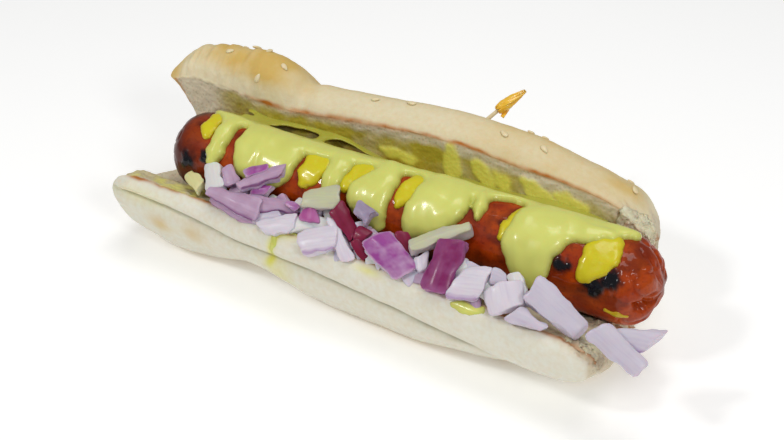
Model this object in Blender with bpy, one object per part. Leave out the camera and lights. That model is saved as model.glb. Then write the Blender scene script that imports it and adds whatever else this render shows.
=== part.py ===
"""Hot dog: a soft sesame bun opened along its length, holding a grilled sausage under squeezed
mustard sauce and yellow mustard, with chopped red onion along the front and a frilled pick behind.

The model is in metres. X runs along the bun, Y goes from its low front lip to its tall back half,
and Z is up. Sizes below are in millimetres, and main() scales the finished bodies to metres.
"""

import math

import bmesh
import bpy
from mathutils import Euler, Matrix, Vector

MM = 0.001

# Driving dimensions.
SAUSAGE_LEFT, SAUSAGE_RIGHT = -77.5, 79.0
SAUSAGE_RADIUS = 12.5
SAUSAGE_HEIGHT = 31.0  # of its axis over the bottom of the bun, at the middle
SAUSAGE_SLOPE = -0.0285
BUN_LEFT, BUN_RIGHT = -94.0, 71.0
BUN_BACK = 41.0
GAP = 0.4  # kept between pieces that lie against each other
SINK = 0.7  # how far sauce reaches into its neighbours before it is cut clear of them
END_ROUNDING = 11.0  # how far the sausage's round ends reach in from its tips
END_POWER = 2.4
BUN_POWER = 2.6  # how square the bun's ends are
LEFT_END, RIGHT_END = 10.0, 9.0  # how far the bun's own round ends reach in
LEFT_SLOPE = 7.5  # how far the back half's left end leans in below its top
LIP_BACK = 5.0  # how far the front lip stops short of the left end
STICK_RADIUS = 0.75
STICK_SUNK, STICK_OUT = 18.0, 15.0  # the pick's length inside the bun and outside it
STICK_POINT = 4.0  # length of its point

# The pick: which way it leans, where it leaves the bun's back, and the frill wound on its end.
PICK_WAY = Vector((0.55, 0.62, 0.56)).normalized()
PICK_FOOT = Vector((7.4, 36.5, 41.0))
FRILL_START = 9.4
FRILL_LENGTH = 10.0
FRILL_LEAN = Vector((0.9, 0.4, -0.2))
CURL_WAY = Vector((0.85, 0.1, -0.5)).normalized()

# How fine the meshes are.
BUN_STATIONS = 28
SIDE_POINTS = 20
ROUND_POINTS = 20

# The front half's underside passes UNDER_Y at a height of its own and falls away at UNDER_SLOPE.
UNDER_Y = -20.0
UNDER_SLOPE = -0.78

# The bun along its length: x, the back rim's y and z, the crown's z, the front rim's y and z, the
# height of the crease along the front, and the height of the front's underside at UNDER_Y.
BUN_PROFILE = (
    (-94.0, 16.0, 44.5, 50.0, -19.0, 29.5, 25.0, 13.0),
    (-83.0, 16.0, 48.0, 55.0, -19.5, 30.0, 25.5, 10.5),
    (-70.0, 16.0, 47.0, 57.0, -20.0, 30.0, 24.0, 7.8),
    (-56.0, 16.0, 45.2, 57.0, -20.5, 30.0, 21.4, 8.6),
    (-42.0, 16.0, 45.2, 50.5, -21.5, 30.0, 19.8, 10.6),
    (-22.0, 16.0, 47.0, 51.0, -23.0, 29.5, 18.9, 5.6),
    (8.0, 16.0, 48.2, 52.3, -25.0, 29.0, 16.6, 2.6),
    (30.0, 16.0, 45.5, 50.3, -26.8, 28.5, 14.4, 3.2),
    (50.0, 16.0, 43.2, 45.2, -28.8, 28.0, 13.4, 5.6),
    (62.0, 16.0, 39.8, 41.0, -30.0, 27.5, 14.2, 5.6),
    (71.0, 16.0, 33.0, 34.0, -31.0, 27.0, 16.0, 9.0),
)

# Where the sauce over the sausage ends, in degrees round the sausage from its back, and how high
# up the bun's inner wall it reaches: x, front edge, wall height.
SAUCE_COVER = (
    (-63.0, 88.0, 42.0),
    (-57.0, 108.0, 40.5),
    (-53.0, 92.0, 39.8),
    (-46.0, 112.0, 40.2),
    (-27.0, 108.0, 40.6),
    (-18.0, 104.0, 38.0),
    (-10.0, 99.0, 36.2),
    (3.0, 91.0, 36.0),
    (8.0, 94.0, 37.2),
    (15.0, 110.0, 38.6),
    (24.0, 98.0, 38.2),
    (32.0, 91.0, 39.2),
    (37.0, 93.0, 40.2),
    (43.0, 112.0, 40.8),
    (54.0, 121.0, 38.8),
    (61.0, 114.0, 37.2),
    (66.0, 105.0, 35.0),
    (70.0, 101.0, 33.5),
)

# Ribbons of sauce that run down over the front of the sausage, and the mustard between them:
# each step is the angle round the sausage, x, half the width, and the thickness.
RIBBONS = (
    ((80, -57.0, 3.0, 2.4), (110, -57.4, 3.2, 2.8), (140, -57.6, 3.1, 2.8), (158, -57.6, 2.4, 2.2)),
    ((84, -41.5, 10.0, 2.6), (115, -41.2, 10.6, 3.0), (140, -42.0, 10.4, 3.0), (156, -42.5, 8.5, 2.4)),
    ((84, -16.5, 3.8, 2.4), (108, -17.0, 3.4, 3.0), (130, -18.3, 3.0, 3.0), (150, -18.0, 2.6, 2.4)),
    ((84, -3.5, 3.4, 2.4), (110, -3.3, 4.6, 3.0), (140, -6.2, 7.2, 3.2), (160, -3.6, 5.0, 3.2),
     (178, -1.0, 1.8, 2.4)),
    ((84, 15.5, 7.4, 2.6), (115, 15.3, 8.0, 3.2), (140, 13.0, 7.8, 3.4), (158, 10.2, 4.6, 3.2),
     (174, 9.2, 1.8, 2.4)),
    ((90, 27.0, 2.2, 2.0), (108, 26.6, 2.0, 2.2), (127, 26.2, 1.3, 1.8)),
    ((84, 46.0, 6.8, 2.8), (110, 45.2, 8.0, 3.4), (132, 43.4, 7.6, 3.8), (160, 44.2, 6.4, 3.8),
     (182, 45.2, 4.4, 3.4), (194, 46.2, 2.0, 2.4)),
)
MUSTARD = (
    ((62, -62.6, 1.8, 1.4), (88, -63.6, 2.4, 1.9), (110, -63.4, 2.8, 2.1), (128, -63.2, 1.4, 1.6)),
    ((104, -25.2, 3.4, 1.6), (122, -25.8, 4.2, 2.0), (138, -26.6, 3.2, 2.0), (149, -26.8, 1.4, 1.5)),
    ((102, -10.8, 2.6, 1.6), (117, -11.6, 2.8, 1.9), (132, -13.6, 1.6, 1.6)),
    ((103, 6.6, 3.4, 1.6), (116, 4.6, 2.4, 1.9), (128, 3.4, 1.4, 1.8), (140, 3.0, 1.0, 1.4)),
    ((94, 38.6, 1.6, 1.5), (111, 36.3, 1.5, 1.9), (125, 35.0, 1.4, 1.9), (140, 34.8, 0.9, 1.5)),
    ((112, 63.2, 3.6, 1.8), (122, 62.9, 4.8, 2.2), (136, 61.6, 4.2, 2.3), (150, 60.2, 2.6, 2.0),
     (162, 59.0, 1.1, 1.5)),
)

# Openings between the sauce and the bun's wall: centre, then half of each side.
SAUCE_HOLES = (
    ((-40.8, 11.2, 41.0), (8.0, 3.2, 1.5), 1.5),
    ((-22.5, 11.2, 39.2), (8.6, 3.2, 1.5), 14.0),
)

# The slope of chopped onion, from just over the front lip up to the side of the sausage.
HEAP_FOOT_Y, HEAP_FOOT_SPLAY, HEAP_FOOT_Z = -24.0, -0.1, 32.0
HEAP_SLOPE = 45.0

# Chopped red onion on that slope: name, place along the bun, up the slope and off it, turns about
# its length, its width and the slope's normal, length, width and slant of each end, thickness.
ONIONS = (
    ("onion_pale_1", -54.5, 4.5, 1, (0, -20, -50), 10, (5, 5.5), (2.5, 1), 2.6),
    ("onion_gold_1", -61.5, 1.5, -0.5, (-15, -15, -25), 7.5, (3.5, 4), (0, -1.5), 2.2),
    ("onion_lilac_1", -49, 6.5, 1.5, (-15, 0, -50), 5.5, (3.5, 4.5), (-0.5, 0), 2.4),
    ("onion_lilac_2", -38, 9, 2, (-10, 15, 40), 14.5, (3, 3.5), (-1, 2.5), 2.6),
    ("onion_purple_1", -40, 10.5, 2.5, (-25, 20, 40), 6.5, (3, 2.5), (0, 0.5), 2),
    ("onion_lilac_3", -44, 0, 3, (-5, 5, -5), 17, (3, 7), (0, -0.5), 2),
    ("onion_lilac_4", -45.5, -3, 1, (5, 0, -15), 15, (2.5, 2), (0.5, 5), 2),
    ("onion_lilac_5", -33, 3, -0.5, (-10, 10, 10), 13.5, (5, 3), (-2, -4.5), 2),
    ("onion_purple_2", -37.5, 6, 0.5, (0, 5, 10), 4.5, (2.5, 3), (1, 2), 2),
    ("onion_white_1", -28, -2, 0.5, (-5, 5, 25), 11, (4, 5), (-3, 1), 3),
    ("onion_purple_3", -26.5, 5, -0.5, (-10, 5, -15), 4, (1, 2), (0.5, 1), 1.6),
    ("onion_grey_1", -18, 9.5, 0, (-15, 10, 20), 10.5, (5, 7), (0.5, -1), 2.6),
    ("onion_pink_1", -19.5, 5.5, 0, (0, 5, -80), 6, (1.5, 6), (0.5, 1), 2.4),
    ("onion_white_2", -13.5, -2, 1, (-5, 5, 25), 10.5, (6.5, 6), (-1, 2), 3.6),
    ("onion_white_3", -8, 0.5, 0, (-10, 5, -50), 12, (2.5, 4), (2.5, 1), 2.6),
    ("onion_dark_1", -8.5, 6, 0, (-20, 10, -40), 9.5, (5, 3.5), (-1, -2.5), 2.6),
    ("onion_dark_2", -2, 4, -1, (-15, 5, -5), 3.5, (3.5, 3.5), (-0.5, 1.5), 2.2),
    ("onion_dark_3", -1.5, 0, -1, (-10, 15, -40), 6, (2.5, 2.5), (0, 0), 2.2),
    ("onion_slate_1", -3.5, 10, -0.5, (-15, 0, -20), 5.5, (3, 5), (-1, 0.5), 2.2),
    ("onion_purple_4", 8.5, 1.5, -0.5, (-5, 5, -30), 14, (8, 7.5), (2.5, 2), 3),
    ("onion_dark_4", 11, 6, -1.5, (-25, 5, -55), 6.5, (3.5, 3), (0.5, -0.5), 2.2),
    ("onion_grey_2", 20, 11, -2.5, (-15, 20, 40), 17.5, (4, 3.5), (1, 1), 2.6),
    ("onion_plum_1", 24.5, 4, -1, (-5, -5, -90), 14.5, (7.5, 7.5), (-1.5, -1), 4),
    ("onion_white_4", 17.5, 2.5, -2, (-10, -5, -65), 4.5, (4, 2), (-1.5, -1), 2.4),
    ("onion_white_5", 33, 2, -1.5, (-5, 5, 10), 8, (8.5, 9), (4.5, 3), 3.2),
    ("onion_lilac_6", 39.5, 6, -2.5, (-10, 15, -10), 4, (4.5, 3.5), (-1, -1), 2.4),
    ("onion_white_6", 43.5, 1.5, -2, (-10, 0, -60), 7, (10, 9), (0, -0.5), 4.6),
    ("onion_lilac_7", 57.5, 3.5, -1.5, (-10, 10, -25), 16.5, (7.5, 5.5), (-0.5, 1), 3.2),
    ("onion_pink_2", 51.5, -2, -0.5, (-10, 5, -10), 9, (4.5, 2), (2.5, 1.5), 2.2),
    ("onion_lilac_8", 76, -0.5, -0.5, (-5, 10, -25), 14.5, (6, 5), (1.5, 1), 3),
    ("onion_lilac_9", 78, 4, -4, (-10, 15, 5), 11, (1.5, 7.5), (1.5, 6.5), 2.8),
)

COLOURS = {
    "bun": (0.74, 0.6, 0.38, 1.0),
    "sausage": (0.3, 0.05, 0.015, 1.0),
    "sauce": (0.68, 0.68, 0.18, 1.0),
    "mustard": (0.7, 0.56, 0.02, 1.0),
    "stick": (0.72, 0.62, 0.43, 1.0),
    "frill": (0.85, 0.42, 0.01, 1.0),
    "pale": (0.7, 0.66, 0.68, 1.0),
    "white": (0.72, 0.68, 0.72, 1.0),
    "gold": (0.68, 0.64, 0.45, 1.0),
    "grey": (0.55, 0.5, 0.46, 1.0),
    "slate": (0.42, 0.36, 0.45, 1.0),
    "lilac": (0.58, 0.45, 0.6, 1.0),
    "pink": (0.6, 0.25, 0.5, 1.0),
    "purple": (0.32, 0.1, 0.3, 1.0),
    "plum": (0.16, 0.01, 0.09, 1.0),
    "dark": (0.1, 0.005, 0.03, 1.0),
}


def mix(a, b, share):
    return a + (b - a) * share


def ease(value, start, end):
    """0 before start, 1 after end, smooth between."""
    t = min(max((value - start) / (end - start), 0.0), 1.0)
    return t * t * (3.0 - 2.0 * t)


def along(table, at):
    """The row of a table at a place between its rows, on a smooth curve through them."""
    i = 0
    while i < len(table) - 2 and table[i + 1][0] < at:
        i += 1
    before = table[max(i - 1, 0)]
    a, b = table[i], table[i + 1]
    after = table[min(i + 2, len(table) - 1)]
    t = min(max((at - a[0]) / (b[0] - a[0]), 0.0), 1.0)
    row = []
    for p0, p1, p2, p3 in zip(before, a, b, after):
        bend = (2 * p0 - 5 * p1 + 4 * p2 - p3) * t * t + (3 * p1 - p0 - 3 * p2 + p3) * t**3
        row.append(0.5 * (2 * p1 + (p2 - p0) * t + bend))
    return row[1:]


def even(points, count):
    """count points at even distances along a smooth curve through the given (y, z) points."""
    rows = [(i, *p) for i, p in enumerate(points)]
    fine = [Vector(along(rows, i / 12)) for i in range(12 * (len(points) - 1) + 1)]
    walked = [0.0]
    for a, b in zip(fine, fine[1:]):
        walked.append(walked[-1] + (b - a).length)
    found, k = [], 0
    for i in range(count):
        target = walked[-1] * i / (count - 1)
        while k < len(fine) - 2 and walked[k + 1] < target:
            k += 1
        step = walked[k + 1] - walked[k]
        found.append(fine[k].lerp(fine[k + 1], (target - walked[k]) / step if step else 0.0))
    return found


def axis_height(x):
    """The sausage lies a little lower at its right end."""
    return SAUSAGE_HEIGHT + SAUSAGE_SLOPE * x


def round_sausage(x, degrees, reach):
    """A (y, z) point at a distance from the sausage's axis; 0 degrees is its back, 90 its top."""
    angle = math.radians(degrees)
    return reach * math.cos(angle), axis_height(x) + reach * math.sin(angle)


def linked(name, work):
    bmesh.ops.recalc_face_normals(work, faces=work.faces)
    mesh = bpy.data.meshes.new(name)
    work.to_mesh(mesh)
    work.free()
    body = bpy.data.objects.new(name, mesh)
    bpy.context.scene.collection.objects.link(body)
    return body


def loft(name, sections):
    """A closed solid through rings of points, with a cap at each end."""
    work = bmesh.new()
    loops = []
    for ring in sections:
        verts = [work.verts.new(p) for p in ring]
        loops.append([work.edges.new(pair) for pair in zip(verts, verts[1:] + verts[:1])])
    for first, second in zip(loops, loops[1:]):
        bmesh.ops.bridge_loops(work, edges=first + second)
    bmesh.ops.holes_fill(work, edges=loops[0] + loops[-1], sides=0)
    return linked(name, work)


def baked(body, operation, other):
    """body after a Boolean with other, which stays as it is."""
    change = body.modifiers.new("cut", "BOOLEAN")
    change.operation = operation
    change.solver = "EXACT"
    change.object = other
    graph = bpy.context.evaluated_depsgraph_get()
    result = bpy.data.meshes.new_from_object(body.evaluated_get(graph))
    body.modifiers.clear()
    body.data = result


def swollen(body):
    """A copy of a body grown by the gap that its neighbours keep to it."""
    work = bmesh.new()
    work.from_mesh(body.data)
    work.normal_update()
    moves = [(vert, vert.normal.copy()) for vert in work.verts]
    for vert, normal in moves:
        vert.co += normal * GAP
    cutter = linked(body.name + "_swollen", work)
    cutter.hide_render = True
    cutter.display_type = "WIRE"
    return cutter


def apart(body, other):
    """True when the two bodies' boxes don't meet."""
    for axis in range(3):
        mine = [vert.co[axis] for vert in body.data.vertices]
        theirs = [vert.co[axis] for vert in other.data.vertices]
        if min(mine) > max(theirs) or min(theirs) > max(mine):
            return True
    return False


def cut_clear(body, cutters):
    """Trims a body with its neighbours' swollen copies, which leaves a small gap to each."""
    for cutter in cutters:
        if not apart(body, cutter):
            baked(body, "DIFFERENCE", cutter)


def join_all(bodies):
    first = bodies[0]
    for other in bodies[1:]:
        baked(first, "UNION", other)
        bpy.data.objects.remove(other)
    return first


def largest_piece(body):
    """Drops the crumbs that a cut leaves beside the main piece."""
    work = bmesh.new()
    work.from_mesh(body.data)
    left = set(work.verts)
    pieces = []
    while left:
        found = [left.pop()]
        for vert in found:
            for edge in vert.link_edges:
                other = edge.other_vert(vert)
                if other in left:
                    left.remove(other)
                    found.append(other)
        pieces.append(found)
    pieces.sort(key=len)
    for piece in pieces[:-1]:
        bmesh.ops.delete(work, geom=piece, context="VERTS")
    work.to_mesh(body.data)
    work.free()


def painted(body, colour):
    finish = bpy.data.materials.new(body.name)
    finish.use_nodes = True
    shader = finish.node_tree.nodes["Principled BSDF"]
    shader.inputs["Base Color"].default_value = COLOURS[colour]
    shader.inputs["Roughness"].default_value = 0.5
    body.data.materials.clear()
    body.data.materials.append(finish)


# ---------------------------------------------------------------- the bun


def crumb_side(x):
    """The cut faces at x, from the front rim through the groove to the back rim."""
    back_y, back_z, crown, rim_y, rim_z, crease, under = along(BUN_PROFILE, x)
    reach = SAUSAGE_RADIUS + GAP + 0.5
    shelf_y, shelf_z = round_sausage(x, mix(205, 228, ease(x, 20.0, 65.0)), reach)
    wall_y, wall_z = round_sausage(x, 0, reach)
    return [
        (rim_y, rim_z),
        (mix(rim_y, shelf_y, 0.5), mix(rim_z, shelf_z, 0.5)),
        (shelf_y, shelf_z),
        round_sausage(x, mix(238, 246, ease(x, 20.0, 65.0)), reach),
        round_sausage(x, 270, reach),
        round_sausage(x, 302, reach),
        round_sausage(x, 332, reach),
        (wall_y, wall_z),
        (mix(wall_y, back_y, 0.55), mix(wall_z, back_z, 0.5)),
        (back_y, back_z),
    ]


def crust_side(x):
    """The crust at x, from the front rim down round the underside and up to the back rim."""
    back_y, back_z, crown, rim_y, rim_z, crease, under = along(BUN_PROFILE, x)
    tuck = ease(x, 25.0, 55.0)
    fold_y = rim_y - 1.8 + 6.0 * tuck
    belly_y = rim_y + 3.0 + 5.0 * tuck
    floor_y = UNDER_Y - under / UNDER_SLOPE + 2.0
    return [
        (rim_y, rim_z),
        (rim_y - 2.6, rim_z - 1.4),
        (rim_y - 4.0, mix(rim_z, crease, 0.5)),
        (rim_y - 1.2, crease),
        (fold_y, mix(crease, under + UNDER_SLOPE * (fold_y - UNDER_Y), 0.5)),
        (belly_y, under + UNDER_SLOPE * (belly_y - UNDER_Y) + 0.4),
        (floor_y, -0.3),
        (6.0, -0.6),
        (26.0, -0.6),
        (36.5, 6.0),
        (BUN_BACK, 19.0),
        (BUN_BACK - 1.0, 0.62 * crown),
        (35.5, 0.86 * crown),
        (27.0, crown),
        (19.5, mix(back_z, crown, 0.7)),
        (back_y, back_z),
    ]


def bun_section(x):
    """The ring of (y, z) points at x. It shrinks onto its middle line at the bun's rounded ends."""
    outer = even(crust_side(x), SIDE_POINTS)
    inner = even(crumb_side(x), SIDE_POINTS)
    middle = [(a + b) / 2 for a, b in zip(outer, inner)]
    near_left = min(max((x - BUN_LEFT) / LEFT_END, 0.0), 1.0)
    near_right = min(max((BUN_RIGHT - x) / RIGHT_END, 0.0), 1.0)
    keep = (1 - (1 - near_left) ** BUN_POWER) * (1 - (1 - near_right) ** BUN_POWER)
    keep = 0.1 + 0.9 * math.sqrt(keep)
    last = SIDE_POINTS - 1
    ring = []
    for side in (outer, inner[-2:0:-1]):
        for i, p in enumerate(side):
            k = i if side is outer else last - 1 - i
            share = (0.05 + 0.9 * k / last) * last
            low = min(int(share), last - 1)
            core = middle[low].lerp(middle[low + 1], share - low)
            ring.append(core.lerp(p, keep))
    return ring


def make_bun():
    sections = []
    for i in range(BUN_STATIONS + 1):
        t = i / BUN_STATIONS
        t = mix(t, 0.5 - 0.5 * math.cos(math.pi * t), 0.75)
        x = mix(BUN_LEFT, BUN_RIGHT, t)
        slope = LEFT_SLOPE * ease(-x, 66.0, 93.0)
        blunt = LIP_BACK * ease(-x, 80.0, 93.0)
        ring = []
        for y, z in bun_section(x):
            tucked = ease(y, -4.0, 12.0) * min(max((46.0 - z) / 12.0, 0.0), 1.5)
            lip = ease(-y, 8.0, 16.0) * ease(z, 22.0, 30.0)
            ring.append((x + slope * tucked + blunt * lip, y, max(z, 0.0)))
        sections.append(ring)
    return loft("bun", sections)


# ---------------------------------------------------------------- the sausage and its sauces


def make_sausage():
    sections = []
    for i in range(25):
        x = mix(SAUSAGE_LEFT, SAUSAGE_RIGHT, 0.5 - 0.5 * math.cos(math.pi * i / 24))
        from_tip = min(x - SAUSAGE_LEFT, SAUSAGE_RIGHT - x)
        into_end = max(1 - from_tip / END_ROUNDING, 0.0)
        radius = SAUSAGE_RADIUS * math.sqrt(max(1 - into_end**END_POWER, 0.012))
        ring = [round_sausage(x, 360 * k / ROUND_POINTS, radius) for k in range(ROUND_POINTS)]
        sections.append([(x, y, z) for y, z in ring])
    return loft("sausage", sections)


def make_cover():
    """The sauce lying over the top of the sausage, as far as the bun's inner wall."""
    floor = SAUSAGE_RADIUS + GAP
    under = floor - SINK
    start, end = SAUCE_COVER[0][0], SAUCE_COVER[-1][0]
    sections = []
    for i in range(27):
        x = mix(start, end, i / 26)
        front, wall_z = along(SAUCE_COVER, x)
        back_y = along(BUN_PROFILE, x)[0]
        wall_y = mix(floor, back_y, (wall_z - axis_height(x)) / 16.0 * 0.95) + 1.5
        edge = min(i, 26 - i) / 2.0
        depth = 2.7 * math.sqrt(min(max(1 - (1 - min(edge, 1.0)) ** 2, 0.12), 1.0))
        top_y, top_z = round_sausage(x, 82, floor + depth)
        ring = [(wall_y, wall_z), (mix(wall_y, top_y, 0.45), mix(wall_z, top_z, 0.55))]
        for k in range(5):
            ring.append(round_sausage(x, mix(82, front - 5, k / 4), floor + depth))
        ring.append(round_sausage(x, front, floor + 0.45 * depth))
        for k in range(5):
            ring.append(round_sausage(x, mix(front - 3, 66, k / 4), under))
        ring.append((mix(wall_y, 5.2, 0.5), mix(wall_z, 41.5, 0.5) - 1.6))
        ring.append((wall_y, wall_z - depth))
        sections.append([(x, y, z) for y, z in ring])
    return loft("sauce", sections)


def make_ribbon(name, steps):
    """A rounded ribbon lying round the sausage through the given steps."""
    floor = SAUSAGE_RADIUS + GAP
    under = floor - SINK
    first, last = steps[0][0], steps[-1][0]
    count = max(4, round((last - first) / 10))
    sections = []
    for i in range(count + 1):
        angle = mix(first, last, i / count)
        x, half, depth = along(steps, angle)
        tip = min(i, count - i) / 1.6
        shrink = math.sqrt(max(1 - (1 - min(tip, 1.0)) ** 2, 0.1))
        half *= shrink
        depth *= mix(shrink, 1.0, 0.3)
        ring = []
        for k in range(7):
            across = math.pi * k / 6
            rise = under + (depth + SINK) * math.sin(across) ** 0.7
            ring.append((x - half * math.cos(across), *round_sausage(x, angle, rise)))
        for k in (0.5, 0.0, -0.5):
            ring.append((x + half * k, *round_sausage(x, angle, under)))
        sections.append(ring)
    return loft(name, sections)


def make_hole(middle, halves, slant):
    """A flattened ball that opens a gap in the sauce."""
    work = bmesh.new()
    place = Matrix.Translation(middle)
    place @= Euler((0.0, math.radians(slant), 0.0)).to_matrix().to_4x4()
    place @= Matrix.Diagonal((*halves, 1.0))
    bmesh.ops.create_uvsphere(work, u_segments=16, v_segments=8, radius=1.0, matrix=place)
    return linked("hole", work)


# ---------------------------------------------------------------- the onion and the pick


def make_onion(name, x, up, off, turns, length, widths, slants, thickness):
    """A piece cut from a curved onion layer: a slab that bows across its width."""
    foot = Vector((x, HEAP_FOOT_Y + HEAP_FOOT_SPLAY * x, HEAP_FOOT_Z))
    slope = Matrix.Rotation(math.radians(HEAP_SLOPE), 4, "X")
    place = Matrix.Translation(foot) @ slope @ Matrix.Translation((0.0, up, off))
    for axis, turn in zip("ZYX", reversed(turns)):
        place @= Matrix.Rotation(math.radians(turn), 4, axis)
    corner = 0.16
    sections = []
    for t in (0.0, 0.12, 0.5, 0.88, 1.0):
        width = mix(widths[0], widths[1], t) * (1 - corner * (abs(2 * t - 1) > 0.99))
        slant = mix(slants[0], slants[1], t)
        depth = thickness * (0.7 if abs(2 * t - 1) > 0.99 else 1.0)
        ring = []
        for v, w in ((-1, -0.6), (-1, 0.6), (-0.8, 1), (0, 1), (0.8, 1), (1, 0.6), (1, -0.6),
                     (0.8, -1), (0, -1), (-0.8, -1)):
            bow = 0.1 * width * (1 - v * v)
            ring.append((length * (t - 0.5) + slant * v / 2, width * v / 2, depth * w / 2 + bow))
        sections.append([place @ Vector(p) for p in ring])
    return loft(name, sections)


def along_pick(distance):
    """A point on the pick's centre line, counted outwards from where it leaves the bun's back."""
    return PICK_FOOT + PICK_WAY * distance


def make_stick():
    turn = PICK_WAY.to_track_quat("Z", "Y")
    sections = []
    taper = ((-STICK_SUNK, 0.15), (STICK_POINT - STICK_SUNK, 1.0), (9.0, 1.0), (STICK_OUT, 0.8))
    for distance, radius in taper:
        ring = []
        for k in range(10):
            angle = 2 * math.pi * k / 10
            side = turn @ Vector((math.cos(angle), math.sin(angle), 0.0))
            ring.append(along_pick(distance) + side * radius * STICK_RADIUS)
        sections.append(ring)
    return loft("pick_stick", sections)


def make_frill():
    """The cellophane tuft wound on the end of the stick, with one strip that curls back."""
    turn = PICK_WAY.to_track_quat("Z", "Y")
    sections = []
    for step in range(9):
        t = step / 8
        radius = 0.15 + 1.75 * math.sin(math.pi * min(0.12 + 0.88 * t**0.8, 1.0)) ** 0.8
        middle = along_pick(FRILL_START + FRILL_LENGTH * t) + FRILL_LEAN * t * t
        ring = []
        for k in range(10):
            angle = 2 * math.pi * k / 10
            side = Vector((math.cos(angle), 0.75 * math.sin(angle), 0.0))
            ring.append(middle + turn @ side * radius)
        sections.append(ring)
    tuft = loft("pick_frill", sections)
    sections = []
    for step in range(7):
        t = step / 6
        middle = along_pick(FRILL_START + 3.6 - 4.4 * t) + CURL_WAY * (1.0 + 1.5 * t)
        half = CURL_WAY * mix(0.9, 0.6, t)
        thick = PICK_WAY.cross(CURL_WAY).normalized() * 0.3
        sections.append([middle + half * a + thick * b
                         for a, b in ((-1, -1), (1, -1), (1, 1), (-1, 1))])
    return join_all([tuft, loft("curl", sections)])


def main():
    for old in list(bpy.data.objects):
        bpy.data.objects.remove(old)
    sausage = make_sausage()
    bun = make_bun()
    stick = make_stick()
    frill = make_frill()
    around_sausage = swollen(sausage)
    around_stick = swollen(stick)
    cut_clear(bun, [around_sausage, around_stick])
    cut_clear(frill, [around_stick])
    around_bun = swollen(bun)

    mustard = [make_ribbon(f"mustard_{i + 1}", steps) for i, steps in enumerate(MUSTARD)]
    around_mustard = [swollen(patch) for patch in mustard]
    for patch in mustard:
        cut_clear(patch, [around_sausage])
    sauce = join_all([make_cover()] + [make_ribbon("ribbon", steps) for steps in RIBBONS])
    holes = [make_hole(*hole) for hole in SAUCE_HOLES]
    for hole in holes:
        baked(sauce, "DIFFERENCE", hole)
    around_sauce = swollen(sauce)
    cut_clear(sauce, [around_sausage, around_bun] + around_mustard)
    largest_piece(sauce)

    onions = []
    taken = [around_bun, around_sausage, around_sauce] + around_mustard
    for row in ONIONS:
        piece = make_onion(*row)
        around_piece = swollen(piece)
        cut_clear(piece, taken)
        largest_piece(piece)
        onions.append(piece)
        taken.append(around_piece)
    for cutter in taken + holes + [around_stick]:
        bpy.data.objects.remove(cutter)

    for body, colour in [(bun, "bun"), (sausage, "sausage"), (sauce, "sauce"), (stick, "stick"),
                         (frill, "frill")]:
        painted(body, colour)
    for body in mustard:
        painted(body, "mustard")
    for body in onions:
        painted(body, body.name.split("_")[1])

    bodies = [o for o in bpy.data.objects if o.type == "MESH"]
    for body in bodies:
        body.data.transform(Matrix.Scale(MM, 4))
    corners = [v.co for body in bodies for v in body.data.vertices]
    middle = [(min(c[i] for c in corners) + max(c[i] for c in corners)) / 2 for i in (0, 1)]
    base = bpy.data.objects.new("base", None)
    bpy.context.scene.collection.objects.link(base)
    for body in bodies:
        body.parent = base
    base.location = (-middle[0], -middle[1], -min(c.z for c in corners))


main()
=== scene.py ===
"""Looks of a hot dog: a soft bun with a torn end, a grilled sausage, poured sauce and mustard, chopped
red onion, sesame seeds and a frilled pick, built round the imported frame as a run-once add-on."""

import math
import random

import bmesh
import bpy
import numpy as np
from mathutils import Matrix, Vector, noise


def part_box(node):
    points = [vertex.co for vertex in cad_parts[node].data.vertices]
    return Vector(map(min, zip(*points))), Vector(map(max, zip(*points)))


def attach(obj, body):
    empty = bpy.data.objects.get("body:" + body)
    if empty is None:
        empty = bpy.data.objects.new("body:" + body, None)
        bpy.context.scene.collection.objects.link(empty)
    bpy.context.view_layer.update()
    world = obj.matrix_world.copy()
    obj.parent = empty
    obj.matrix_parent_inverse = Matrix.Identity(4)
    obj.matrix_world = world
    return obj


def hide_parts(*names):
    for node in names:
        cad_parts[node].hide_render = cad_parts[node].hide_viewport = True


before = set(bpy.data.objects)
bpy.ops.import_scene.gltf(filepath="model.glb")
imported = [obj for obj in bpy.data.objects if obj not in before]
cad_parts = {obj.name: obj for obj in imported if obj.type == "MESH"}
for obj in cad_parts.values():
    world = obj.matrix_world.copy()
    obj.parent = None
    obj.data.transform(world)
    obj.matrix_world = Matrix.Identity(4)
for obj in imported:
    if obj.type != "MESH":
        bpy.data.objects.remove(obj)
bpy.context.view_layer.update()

bl_info = {
    "name": "Hot dog looks",
    "version": (1, 0, 0),
    "blender": (4, 5, 0),
    "location": "3D View > Sidebar > Hot dog",
    "description": "Builds the bun, sausage, sauces, onion and pick of a hot dog",
    "category": "Add Mesh",
}

MM = 0.001

# The sizes of the frame's parts, in millimetres, with x = 0 near the middle of the bun.
SAUSAGE_LEFT, SAUSAGE_RIGHT = -77.5, 79.0
SAUSAGE_RADIUS = 12.5
SAUSAGE_HEIGHT = 31.0
SAUSAGE_SLOPE = -0.0285
END_ROUNDING = 11.0
BUN_LEFT, BUN_RIGHT = -94.0, 71.0
BUN_BACK = 41.0
GAP = 0.4
UNDER_Y = -20.0
UNDER_SLOPE = -0.78
LOW, HIGH = (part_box("sausage")[i] / MM for i in (0, 1))
SHIFT = Vector(((LOW.x + HIGH.x - SAUSAGE_LEFT - SAUSAGE_RIGHT) / 2, (LOW.y + HIGH.y) / 2, 0.0))

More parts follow.
